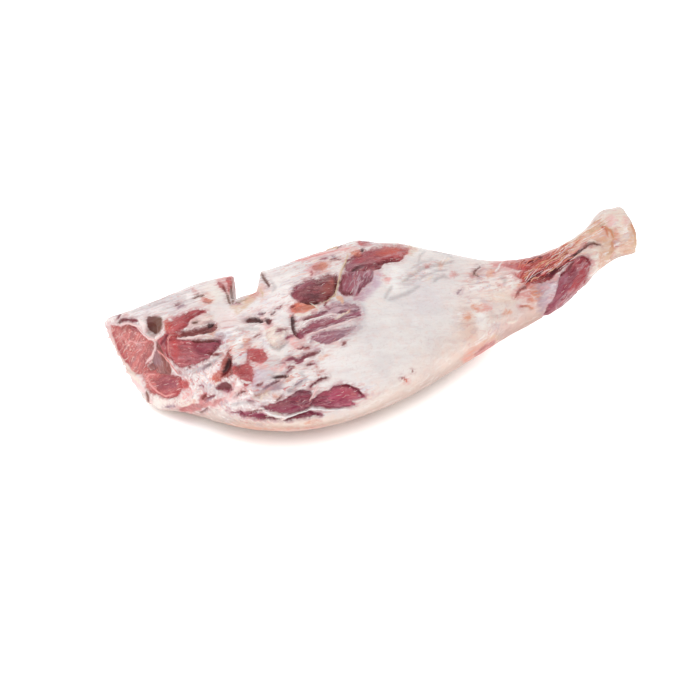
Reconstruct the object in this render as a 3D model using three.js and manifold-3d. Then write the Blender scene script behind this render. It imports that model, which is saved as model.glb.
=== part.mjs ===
import * as THREE from "three";
import { mergeVertices } from "three/addons/utils/BufferGeometryUtils.js";
import Module from "manifold-3d";

// Raw leg of lamb, chump on, lying on its outer side with the inner side up. Millimetres.
// +X runs from the chump cut to the hock, +Y to the backbone edge, +Z up from the surface it rests on.

const wasm = await Module();
wasm.setup();

const AROUND = 76; // sides of each cross-section
const ALONG = 70; // steps from the chump to the hock
const FULL_TURN = 2 * Math.PI;
const OUTSIDE = 400; // reach of a cutting block, past the whole leg
const WELD = 1e-3; // points closer than this are one

// Cross-sections across X. y and z are the middle; front, back, up and down are the reach from there.
// top, flank and ridge shape both upper quarters, the lower front and the lower back quarter:
// a power of 2 gives an elliptic quarter, a higher one a squarer and a lower one a flatter slant.
const SECTIONS = [
  { x: -215, y: 20, z: 56, front: 26, back: 48, up: 16, down: 46, top: 2.1, flank: 2.2, ridge: 1.1 },
  { x: -180, y: 18, z: 56, front: 29, back: 53, up: 18, down: 49, top: 2.1, flank: 2.3, ridge: 1.2 },
  { x: -150, y: 18, z: 55, front: 36, back: 57, up: 23, down: 54, top: 2.3, flank: 2.5, ridge: 1.4 },
  { x: -120, y: 16, z: 52, front: 70, back: 62, up: 30, down: 54, top: 2.5, flank: 2.5, ridge: 1.7 },
  { x: -90, y: 10, z: 48, front: 86, back: 73, up: 36, down: 51, top: 2.5, flank: 2.4, ridge: 2.1 },
  { x: -55, y: 5, z: 46, front: 88, back: 84, up: 42, down: 50, top: 2.2, flank: 2.4, ridge: 2.3 },
  { x: -15, y: 8, z: 46, front: 90, back: 89, up: 46, down: 50, top: 2.1, flank: 2.3, ridge: 2.3 },
  { x: 25, y: 15, z: 46, front: 87, back: 85, up: 46, down: 49, top: 2.1, flank: 2.3, ridge: 2.3 },
  { x: 60, y: 18, z: 45, front: 76, back: 75, up: 42, down: 46, top: 2.1, flank: 2.2, ridge: 2.2 },
  { x: 95, y: 15, z: 45, front: 60, back: 58, up: 35, down: 39, top: 2.1, flank: 2.1, ridge: 2.1 },
  { x: 130, y: 6, z: 47, front: 37, back: 36, up: 29, down: 32, top: 2.1, flank: 2.1, ridge: 2.1 },
  { x: 160, y: 1, z: 52, front: 25, back: 25, up: 24, down: 27, top: 2.1, flank: 2.1, ridge: 2.1 },
  { x: 187, y: 0, z: 61, front: 22, back: 22, up: 21, down: 22, top: 2.1, flank: 2.1, ridge: 2.1 },
  { x: 212, y: 5, z: 72, front: 18, back: 18, up: 19, down: 19, top: 2.1, flank: 2.1, ridge: 2.1 },
  { x: 238, y: 13, z: 80, front: 19, back: 20, up: 20, down: 18, top: 2.4, flank: 2.4, ridge: 2.4 },
  { x: 268, y: 14, z: 82, front: 21, back: 22, up: 20, down: 18, top: 2.6, flank: 2.6, ridge: 2.6 },
];

// Muscles, bones and seams that stand proud of the loft or sink into it, each a soft oval mound.
// at is its middle; long, wide and deep are its half sizes; turn swings its length from +X towards +Y.
const RELIEF = [
  { name: "backbone edge", at: [-102, 67, 70], long: 36, wide: 12, deep: 20, turn: 2, height: 5.5 },
  { name: "fillet muscle", at: [-139, -8, 72], long: 22, wide: 15, deep: 30, turn: 20, height: 4 },
  { name: "pale tip by the fillet", at: [-124, 26, 76], long: 15, wide: 7, deep: 30, turn: 20, height: 3 },
  { name: "seam under the fillet", at: [-124, 8, 75], long: 22, wide: 5, deep: 30, turn: 22, height: -5 },
  { name: "torn flank hollow", at: [-120, -34, 70], long: 6, wide: 17, deep: 30, turn: -12, height: -5 },
  { name: "slit in the pelvis", at: [-87, -1, 81], long: 14, wide: 5, deep: 30, turn: 8, height: -6 },
  { name: "round bone knob", at: [-76, -28, 81], long: 12, wide: 12, deep: 30, turn: 0, height: 5 },
  { name: "hollow round the knob", at: [-92, -40, 78], long: 8, wide: 16, deep: 30, turn: 0, height: -3 },
  { name: "dark upper muscle", at: [-33, 9, 90], long: 25, wide: 15, deep: 30, turn: 12, height: 4 },
  { name: "purple upper muscle", at: [6, 12, 93], long: 22, wide: 18, deep: 30, turn: 40, height: 3 },
  { name: "seam of the upper muscles", at: [-12, 10, 92], long: 5, wide: 22, deep: 30, turn: 0, height: -4 },
  { name: "rim muscle", at: [42, 52, 84], long: 34, wide: 9, deep: 30, turn: 14, height: 4 },
  { name: "seat bone corner", at: [30, 72, 76], long: 17, wide: 13, deep: 20, turn: 0, height: 5 },
  { name: "seam by the rim muscle", at: [36, 36, 89], long: 34, wide: 6, deep: 30, turn: 16, height: -3 },
  { name: "banded muscle", at: [-28, -33, 86], long: 34, wide: 13, deep: 30, turn: 12, height: 3 },
  { name: "seam over the bands", at: [-36, -13, 89], long: 24, wide: 5, deep: 30, turn: 8, height: -4 },
  { name: "step ending the bands", at: [-56, -28, 84], long: 5, wide: 15, deep: 30, turn: 0, height: -4 },
  { name: "split below the bands", at: [-62, -54, 74], long: 20, wide: 4, deep: 20, turn: 10, height: -4 },
  { name: "flank muscle", at: [-50, -79, 54], long: 38, wide: 18, deep: 11, turn: 4, height: -4 },
  { name: "flank fat edge", at: [-70, -80, 32], long: 60, wide: 20, deep: 11, turn: -2, height: 4 },
  { name: "kneecap", at: [96, -42, 58], long: 22, wide: 16, deep: 18, turn: 20, height: 4 },
  { name: "fold above the shank", at: [140, -26, 56], long: 7, wide: 10, deep: 18, turn: 0, height: -3 },
  { name: "shank belly", at: [180, -18, 68], long: 30, wide: 12, deep: 14, turn: 8, height: 3 },
  { name: "heel tendon", at: [178, 20, 80], long: 40, wide: 8, deep: 14, turn: 6, height: 2 },
  { name: "gap by the heel tendon", at: [192, 4, 85], long: 22, wide: 5, deep: 16, turn: 8, height: -5 },
  { name: "heel bone", at: [230, 20, 101], long: 12, wide: 10, deep: 14, turn: 0, height: 6 },
  { name: "hollow by the heel bone", at: [236, -4, 92], long: 12, wide: 6, deep: 14, turn: 10, height: -2 },
  { name: "outer rump", at: [-30, 84, 34], long: 60, wide: 20, deep: 20, turn: 0, height: 3 },
  { name: "outer seam", at: [60, 78, 24], long: 70, wide: 30, deep: 7, turn: -14, height: -3 },
];

// Flat cuts, each by its outward normal and its distance from the origin along it.
const CHUMP_CUT = { normal: [-0.85, -0.52, 0.2], offset: 138.8 };
const HOCK_CUT = { normal: [0.98, -0.05, 0.117], offset: 257.5 };
const GROUND = { normal: [0, 0, -1], offset: 0 };

// Square hole of the spinal canal in the chump cut.
const CANAL = { at: [-162, 27, 70], width: 11, height: 11, depth: 9 };

// Notch between the sawn backbone and the seat bone: its outline across X and up from its lowest line.
const NOTCH = {
  start: [-95, 30, 58],
  run: 110,
  swing: 0.364, // shift towards the hock for each millimetre away from the inner side
  fall: 1.05, // drop for each millimetre away from the inner side
  outline: [[0, 0], [12, 7], [18, 13], [22, 26], [23, 70], [0, 70]],
};

// Value of one named size at x, on a smooth curve through the sections.
function sizeAt(name, x) {
  let i = 0;
  while (i < SECTIONS.length - 2 && x > SECTIONS[i + 1].x) i++;
  const near = SECTIONS[i];
  const far = SECTIONS[i + 1];
  const before = SECTIONS[Math.max(i - 1, 0)];
  const after = SECTIONS[Math.min(i + 2, SECTIONS.length - 1)];
  const run = far.x - near.x;
  const t = (x - near.x) / run;
  const slopeNear = ((far[name] - before[name]) / (far.x - before.x)) * run;
  const slopeFar = ((after[name] - near[name]) / (after.x - near.x)) * run;
  const t2 = t * t;
  const t3 = t2 * t;
  return (
    (2 * t3 - 3 * t2 + 1) * near[name] +
    (t3 - 2 * t2 + t) * slopeNear +
    (3 * t2 - 2 * t3) * far[name] +
    (t3 - t2) * slopeFar
  );
}

const upright = new THREE.Vector3(0, 0, 1);
const lengthwise = new THREE.Vector3(1, 0, 0);

// How far the relief lifts the skin at a point.
function reliefAt(point) {
  let lift = 0;
  for (const mound of RELIEF) {
    const local = point
      .clone()
      .sub(new THREE.Vector3(...mound.at))
      .applyAxisAngle(upright, -THREE.MathUtils.degToRad(mound.turn));
    const away = (local.x / mound.long) ** 2 + (local.y / mound.wide) ** 2 + (local.z / mound.deep) ** 2;
    lift += mound.height * Math.exp(-away);
  }
  return lift;
}

// Point of the outer form at x and at an angle round the section, 0 towards the backbone, a quarter up.
function skinPoint(x, angle) {
  const side = Math.cos(angle);
  const rise = Math.sin(angle);
  const lowQuarter = side > 0 ? "ridge" : "flank";
  const power = sizeAt(rise > 0 ? "top" : lowQuarter, x);
  const across = sizeAt(side > 0 ? "back" : "front", x);
  const over = sizeAt(rise > 0 ? "up" : "down", x);
  const middle = new THREE.Vector3(x, sizeAt("y", x), sizeAt("z", x));
  const reach = new THREE.Vector3(
    0,
    across * Math.sign(side) * Math.abs(side) ** (2 / power),
    over * Math.sign(rise) * Math.abs(rise) ** (2 / power),
  );
  const point = middle.add(reach);
  return point.addScaledVector(reach.normalize(), reliefAt(point));
}

// Closed loft through the sections, capped flat at both ends.
function loft() {
  const first = SECTIONS[0];
  const last = SECTIONS[SECTIONS.length - 1];
  const points = [];
  for (let i = 0; i <= ALONG; i++) {
    const x = THREE.MathUtils.lerp(first.x, last.x, i / ALONG);
    for (let j = 0; j < AROUND; j++) points.push(skinPoint(x, (FULL_TURN * j) / AROUND));
  }
  const triangles = [];
  for (let i = 0; i < ALONG; i++) {
    for (let j = 0; j < AROUND; j++) {
      const a = i * AROUND + j;
      const b = i * AROUND + ((j + 1) % AROUND);
      triangles.push(a, b, b + AROUND, a, b + AROUND, a + AROUND);
    }
  }
  const chumpMiddle = points.length;
  const hockMiddle = chumpMiddle + 1;
  points.push(new THREE.Vector3(first.x, first.y, first.z), new THREE.Vector3(last.x, last.y, last.z));
  for (let j = 0; j < AROUND; j++) {
    const next = (j + 1) % AROUND;
    triangles.push(chumpMiddle, next, j);
    triangles.push(hockMiddle, ALONG * AROUND + j, ALONG * AROUND + next);
  }
  const geometry = new THREE.BufferGeometry().setFromPoints(points);
  geometry.setIndex(triangles);
  return geometry;
}

function solidOf(geometry) {
  const bare = new THREE.BufferGeometry();
  bare.setAttribute("position", geometry.getAttribute("position"));
  bare.setIndex(geometry.index);
  const merged = mergeVertices(bare, WELD);
  return new wasm.Manifold(
    new wasm.Mesh({
      numProp: 3,
      vertProperties: merged.attributes.position.array,
      triVerts: new Uint32Array(merged.index.array),
    }),
  );
}

function geometryOf(solid) {
  const { vertProperties, triVerts } = solid.getMesh();
  const geometry = new THREE.BufferGeometry();
  geometry.setAttribute("position", new THREE.BufferAttribute(vertProperties, 3));
  geometry.setIndex(new THREE.BufferAttribute(triVerts, 1));
  return geometry;
}

// Block that holds everything on the outer side of a plane.
function beyond(normal, offset) {
  const direction = new THREE.Vector3(...normal);
  const size = direction.length();
  direction.normalize();
  const block = new THREE.BoxGeometry(2 * OUTSIDE, 2 * OUTSIDE, OUTSIDE);
  block.applyQuaternion(new THREE.Quaternion().setFromUnitVectors(upright, direction));
  block.translate(...direction.multiplyScalar(offset / size + OUTSIDE / 2).toArray());
  return solidOf(block);
}

// Square hole sunk into the chump cut along its normal.
function canal() {
  const outward = new THREE.Vector3(...CHUMP_CUT.normal).normalize();
  const hole = new THREE.BoxGeometry(CANAL.width, CANAL.height, 2 * CANAL.depth);
  const sideways = new THREE.Vector3().crossVectors(upright, outward).normalize();
  const upwards = new THREE.Vector3().crossVectors(outward, sideways);
  hole.applyMatrix4(new THREE.Matrix4().makeBasis(sideways, upwards, outward));
  const onCut = new THREE.Vector3(...CANAL.at);
  onCut.addScaledVector(outward, CHUMP_CUT.offset - onCut.dot(outward));
  hole.translate(...onCut.toArray());
  return solidOf(hole);
}

// Prism of the notch outline, carried from the inner side down and away to the backbone side.
function notch() {
  const outline = new THREE.Shape(NOTCH.outline.map(([x, y]) => new THREE.Vector2(x, y)));
  const prism = new THREE.ExtrudeGeometry(outline, { depth: NOTCH.run, bevelEnabled: false });
  const towardsInner = new THREE.Vector3(-NOTCH.swing, -1, NOTCH.fall);
  const shear = new THREE.Matrix4().makeBasis(lengthwise, upright, towardsInner);
  shear.setPosition(...NOTCH.start);
  prism.translate(0, 0, -NOTCH.run);
  prism.applyMatrix4(shear);
  return solidOf(prism);
}

const leg = solidOf(loft())
  .subtract(beyond(CHUMP_CUT.normal, CHUMP_CUT.offset))
  .subtract(beyond(HOCK_CUT.normal, HOCK_CUT.offset))
  .subtract(beyond(GROUND.normal, GROUND.offset))
  .subtract(canal())
  .subtract(notch());

const geometry = geometryOf(leg);
geometry.computeBoundingBox();
const middle = geometry.boundingBox.getCenter(new THREE.Vector3());
geometry.translate(-middle.x, -middle.y, -geometry.boundingBox.min.z);

const flesh = new THREE.MeshStandardMaterial({ color: 0xe0cfc8, roughness: 0.45, metalness: 0 });
const mesh = new THREE.Mesh(geometry, flesh);
mesh.name = "leg";

const group = new THREE.Group();
group.add(mesh);

export default group;
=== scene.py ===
import math
import random

import bmesh
import bpy
import numpy as np
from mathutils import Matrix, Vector, noise
from mathutils.bvhtree import BVHTree


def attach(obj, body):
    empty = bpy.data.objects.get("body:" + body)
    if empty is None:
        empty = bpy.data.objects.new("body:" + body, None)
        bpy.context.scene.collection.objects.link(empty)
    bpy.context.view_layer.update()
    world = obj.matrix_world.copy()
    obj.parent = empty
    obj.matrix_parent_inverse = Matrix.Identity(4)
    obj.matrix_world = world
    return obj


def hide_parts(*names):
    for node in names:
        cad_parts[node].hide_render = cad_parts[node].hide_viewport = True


# Raw leg of lamb on a pale table. Metres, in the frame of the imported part.
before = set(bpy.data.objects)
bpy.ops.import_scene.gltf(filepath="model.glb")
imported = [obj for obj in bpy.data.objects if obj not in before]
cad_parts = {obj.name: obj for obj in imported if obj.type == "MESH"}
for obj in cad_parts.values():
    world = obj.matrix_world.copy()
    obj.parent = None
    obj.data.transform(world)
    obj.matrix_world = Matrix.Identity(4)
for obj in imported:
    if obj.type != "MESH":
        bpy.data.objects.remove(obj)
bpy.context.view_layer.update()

# The view that the outlines below were taken in: pixels of a square picture.
photoView = {
    "azimuth": -20.0,
    "elevation": 36.0,
    "target": (-0.03172, -0.00763, 0.045),
    "distance": 1.355,
    "lens": 85.0,
    "sensor": 36.0,
    "pixels": 700,
    "right": 4.0,
    "up": 16.0,
}


def viewAxes():
    a = math.radians(photoView["azimuth"])
    e = math.radians(photoView["elevation"])
    toCamera = np.array([math.sin(a) * math.cos(e), -math.cos(a) * math.cos(e), math.sin(e)])
    right = np.array([math.cos(a), math.sin(a), 0.0])
    up = np.array([-math.sin(a) * math.sin(e), math.cos(a) * math.sin(e), math.cos(e)])
    return toCamera, right, up


toCamera, viewRight, viewUp = viewAxes()
viewTarget = np.array(photoView["target"])
viewEye = viewTarget + toCamera * photoView["distance"]
focal = photoView["lens"] * photoView["pixels"] / photoView["sensor"]
middlePixel = photoView["pixels"] / 2


def toPixels(points):
    away = points - viewTarget
    depth = photoView["distance"] - away @ toCamera
    across = middlePixel + focal * (away @ viewRight) / depth + photoView["right"]
    down = middlePixel - focal * (away @ viewUp) / depth - photoView["up"]
    return across, down


def pixelRay(x, y):
    across = (x - middlePixel - photoView["right"]) / focal
    rise = -(y - middlePixel + photoView["up"]) / focal
    return Vector(viewRight * across + viewUp * rise - toCamera).normalized()


# Colours as they look in daylight, 0 to 255.
def linear(colour):
    return [((c / 255 + 0.055) / 1.055) ** 2.4 if c > 10 else c / 255 / 12.92 for c in colour]


tints = {
    "salmon": (204, 104, 98),
    "crimson": (168, 44, 56),
    "cherry": (178, 58, 60),
    "brownRed": (140, 74, 66),
    "wine": (122, 26, 46),
    "wineBrown": (122, 38, 36),
    "plum": (146, 60, 82),
    "mauve": (168, 104, 122),
    "rust": (188, 86, 74),
    "leafDark": (128, 18, 60),
    "leafLight": (200, 84, 116),
    "blood": (196, 50, 50),
    "darkBlood": (120, 22, 26),
    "orange": (214, 84, 48),
    "caramel": (212, 146, 112),
    "coral": (228, 136, 116),
    "paleOrange": (222, 142, 104),
    "pink": (232, 158, 154),
    "palePink": (240, 206, 204),
    "white": (250, 244, 240),
    "cream": (240, 224, 210),
    "tan": (218, 186, 156),
    "tendon": (230, 178, 148),
    "lavender": (206, 178, 196),
    "greyPurple": (156, 124, 136),
    "grey": (206, 200, 202),
    "dark": (102, 40, 40),
    "darkBrown": (112, 70, 52),
    "black": (54, 16, 20),
}


def area(tint, outline, **more):
    pair = tint if isinstance(tint, tuple) else (tint, tint)
    return {"tint": pair, "outline": outline, **more}


def stroke(tint, width, line, **more):
    pair = tint if isinstance(tint, tuple) else (tint, tint)
    return {"tint": pair, "width": width, "line": line, **more}


# What the photo shows, read in its pixels. A pair of tints runs from left to right, or from
# the start of a line to its end. Grain is in degrees, width in pixels, bulge and deep in millimetres.
# First the muscles.
muscles = {
    "chumpFace": area("salmon", [
        (108, 327), (118, 326), (128, 325), (137, 328), (143, 335), (153, 340), (154, 350), (151, 358),
        (147, 366), (150, 372), (140, 375), (130, 371), (121, 362), (112, 350), (107, 338),
    ], grain=-62, bulge=0.3, marbling=0.9),
    "chumpTop": area("crimson", [
        (129, 326), (137, 327), (143, 334), (136, 335), (130, 332),
    ], grain=30, bulge=0.3),
    "chumpSeam": area("brownRed", [
        (155, 341), (160, 350), (165, 360), (172, 374), (163, 375), (152, 371), (147, 366), (152, 359),
    ], grain=70, bulge=0.0),
    "chumpLobe": area(("salmon", "cherry"), [
        (142, 373), (152, 369), (162, 373), (172, 375), (182, 377), (183, 387), (178, 395), (167, 399),
        (155, 395), (147, 387),
    ], grain=-20, bulge=0.6, marbling=0.7),
    "chumpWedge": area("crimson", [
        (157, 340), (166, 333), (168, 345), (169, 355), (176, 365), (170, 362), (163, 354), (159, 348),
    ], grain=80, bulge=0.2),
    "filletLens": area(("cherry", "plum"), [
        (167, 336), (176, 337), (186, 340), (198, 341), (208, 341), (216, 340), (221, 341), (217, 350),
        (208, 358), (199, 363), (190, 366), (181, 367), (174, 362), (169, 355), (167, 346),
    ], grain=4, bulge=2.2),
    "upperRed": area(("cherry", "crimson"), [
        (166, 326), (172, 320), (180, 314), (190, 310), (200, 309), (207, 312), (198, 315), (190, 319),
        (186, 326), (178, 332), (169, 334),
    ], grain=-28, bulge=1.0),
    # painted shadow under the pale finger of tendon, over dark red-brown flesh
    "underFingerShade": area("wineBrown", [
        (171, 334), (180, 330), (192, 330), (203, 326), (212, 323), (217, 327), (210, 333), (198, 336),
        (184, 337), (175, 337),
    ], grain=-12, bulge=-0.8),
    "ovalWine": area(("leafDark", "wineBrown"), [
        (290, 294), (294, 288), (299, 284), (304, 281), (311, 279), (317, 280), (323, 276), (331, 274),
        (337, 276), (337, 285), (335, 294), (330, 299), (322, 303), (313, 304), (304, 302), (296, 301),
    ], grain=-8, bulge=2.0),
    "upperPlum": area(("plum", "mauve"), [
        (340, 279), (345, 272), (354, 270), (363, 268), (372, 271), (373, 278), (368, 284), (362, 289),
        (358, 295), (350, 296), (341, 294), (338, 287),
    ], grain=-72, bulge=1.2, film=0.7),
    "rimBand": area(("plum", "salmon"), [
        (344, 267), (350, 261), (356, 256), (364, 253), (375, 248), (386, 246), (399, 246), (408, 248),
        (407, 254), (401, 260), (391, 262), (381, 264), (373, 271), (362, 274), (350, 273),
    ], grain=-16, bulge=1.6, film=0.35),
    "rimShade": area(("wine", "crimson"), [
        (360, 271), (372, 264), (384, 260), (398, 257), (405, 256), (399, 261), (386, 263), (376, 269),
    ], grain=-18, bulge=0.2),
    "bandTop": area(("plum", "greyPurple"), [
        (303, 319), (313, 315), (322, 310), (331, 306), (342, 303), (354, 304), (361, 308), (352, 312),
        (340, 314), (326, 317), (313, 319),
    ], grain=-14, bulge=0.6, film=0.9),
    "bandMiddle": area(("plum", "mauve"), [
        (297, 334), (304, 328), (314, 321), (325, 318), (338, 318), (350, 314), (359, 311), (363, 315),
        (353, 320), (341, 323), (329, 327), (316, 331), (306, 335), (299, 338),
    ], grain=-20, bulge=1.0, film=0.9),
    "bandLow": area(("mauve", "greyPurple"), [
        (311, 337), (320, 333), (333, 331), (345, 328), (357, 326), (351, 332), (341, 338), (333, 343),
        (326, 344), (318, 341),
    ], grain=-16, bulge=1.0, film=0.9),
    "leafLeft": area("leafDark", [
        (261, 406), (270, 404), (280, 401), (289, 397), (297, 392), (304, 390), (310, 391), (311, 398),
        (313, 403), (309, 409), (300, 412), (291, 414), (282, 414), (274, 412), (267, 409),
    ], grain=-14, bulge=2.0),
    "leafRight": area(("leafDark", "leafLight"), [
        (311, 402), (320, 394), (330, 388), (338, 384), (346, 384), (354, 387), (360, 392), (367, 396),
        (360, 399), (352, 401), (355, 405), (348, 406), (338, 408), (325, 408), (313, 407),
    ], grain=-18, bulge=2.2),
    "leafUnder": area("leafDark", [
        (239, 411), (244, 414), (252, 415), (263, 415), (268, 418), (276, 420), (266, 420), (254, 418),
        (244, 417),
    ], grain=4, bulge=-0.6),
    "leafUnderRight": area("leafDark", [
        (282, 420), (294, 417), (302, 413), (309, 410), (315, 413), (323, 414), (312, 417), (299, 419),
    ], grain=-6, bulge=-0.6),
    "shankRoot": area(("salmon", "crimson"), [
        (508, 263), (533, 258), (546, 254), (558, 252), (568, 255), (562, 264), (556, 272), (549, 281),
        (539, 284), (531, 282), (524, 279), (513, 274), (523, 271), (511, 267),
    ], grain=-34, bulge=0.6, marbling=0.8),
    "shankBelly": area(("plum", "crimson"), [
        (544, 316), (548, 306), (554, 297), (558, 286), (561, 276), (566, 268), (572, 262), (578, 257),
        (586, 256), (591, 262), (590, 270), (588, 278), (582, 288), (572, 300), (562, 310), (552, 318),
    ], grain=-46, bulge=1.4, film=0.5),
}

# Torn, bloody and orange patches.
raws = {
    "canalSpot": area(("orange", "blood"), [
        (163, 326), (167, 321), (172, 323), (173, 329), (171, 334), (167, 331),
    ], bulge=0.3),
    "wedgeRed": area(("blood", "cherry"), [
        (167, 331), (173, 328), (181, 331), (180, 336), (172, 338), (167, 335),
    ], bulge=0.2),
    "lobeSpot": area("blood", [
        (180, 382), (185, 379), (190, 382), (189, 388), (184, 389), (181, 386),
    ], bulge=0.6),
    "backSpot": area(("orange", "paleOrange"), [
        (202, 300), (206, 297), (212, 299), (211, 304), (205, 303),
    ], bulge=0.2),
    "hollowStreak": area(("orange", "darkBlood"), [
        (211, 377), (218, 372), (222, 364), (225, 356), (228, 350), (232, 353), (232, 362), (235, 368),
        (231, 375), (224, 379), (216, 382),
    ], bulge=-1.0),
    "hollowRight": area(("blood", "cherry"), [
        (229, 363), (236, 366), (242, 365), (247, 360), (247, 350), (251, 349), (250, 362), (253, 372),
        (252, 383), (244, 386), (239, 378), (231, 372),
    ], bulge=-0.6),
    "redPatch": area("blood", [
        (248, 349), (256, 348), (264, 351), (267, 358), (262, 363), (253, 362), (249, 356),
    ], bulge=0.2),
    "redStrip": area(("cherry", "pink"), [
        (179, 409), (186, 405), (198, 403), (201, 395), (207, 393), (208, 401), (216, 400), (226, 398),
        (218, 404), (206, 408), (192, 412), (184, 412),
    ], bulge=-0.4),
    "orangeBlob": area(("orange", "paleOrange"), [
        (289, 311), (291, 305), (297, 302), (305, 302), (312, 304), (316, 307), (310, 311), (302, 313),
        (295, 314),
    ], bulge=1.0),
    "rimOrange": area(("paleOrange", "orange"), [
        (350, 251), (356, 249), (361, 251), (360, 256), (353, 256),
    ], bulge=0.2),
    "rimBlood": area(("blood", "crimson"), [
        (358, 242), (362, 240), (369, 240), (368, 244), (361, 245),
    ], bulge=0.4),
    "tornBright": area(("orange", "blood"), [
        (521, 276), (528, 271), (536, 268), (541, 270), (535, 277), (530, 284), (525, 288), (523, 282),
    ], bulge=0.6),
    "tornTop": area(("coral", "cherry"), [
        (518, 262), (530, 259), (542, 255), (548, 257), (540, 262), (530, 266), (520, 267),
    ], bulge=0.2),
    "coralLeft": stroke(("blood", "coral"), 4.4, [(521, 282), (527, 277), (534, 271), (541, 267)]),
    "coralUpper": stroke(("coral", "salmon"), 3.4, [
        (512, 262), (521, 264), (531, 265), (541, 262), (548, 258),
    ]),
    "coralMiddle": stroke(("coral", "tendon"), 4.4, [(555, 269), (560, 264), (567, 259)]),
    "coralHeel": stroke(("coral", "tendon"), 4.6, [(545, 262), (556, 254), (568, 248), (580, 242)]),
    "topOrange": area(("rust", "paleOrange"), [
        (313, 268), (318, 265), (323, 262), (328, 264), (326, 269), (320, 271), (315, 271),
    ]),
    "topRed": stroke("crimson", 2.6, [(311, 271), (312, 275)]),
    "hollowTip": stroke(("orange", "blood"), 3.6, [(213, 378), (219, 374), (223, 370)]),
    "hollowTop": stroke(("blood", "orange"), 3.8, [(227, 360), (229, 354), (231, 350)]),
    "hollowBranch": stroke(("darkBlood", "crimson"), 5.4, [(236, 366), (243, 370), (248, 378)]),
    "poolRed": stroke("crimson", 3.0, [(226, 390), (230, 386)]),
    "boneFace": stroke(("blood", "rust"), 6.0, [(229, 276), (230, 284), (230, 291)]),
    "boneFaceLeft": stroke(("crimson", "rust"), 3.4, [(219, 283), (223, 288)]),
    "neckRedLine": stroke(("pink", "blood"), 3.4, [(493, 264), (502, 265), (513, 266), (526, 263)]),
    "tornDiagonal": stroke(("rust", "brownRed"), 3.0, [(515, 297), (520, 291), (527, 285)]),
    "kneeFlesh": stroke(("rust", "salmon"), 4.6, [(474, 355), (482, 350), (490, 345), (495, 341)]),
    "coralBand": stroke(("coral", "tendon"), 4.6, [(552, 258), (562, 250), (574, 243)]),
}

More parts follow.
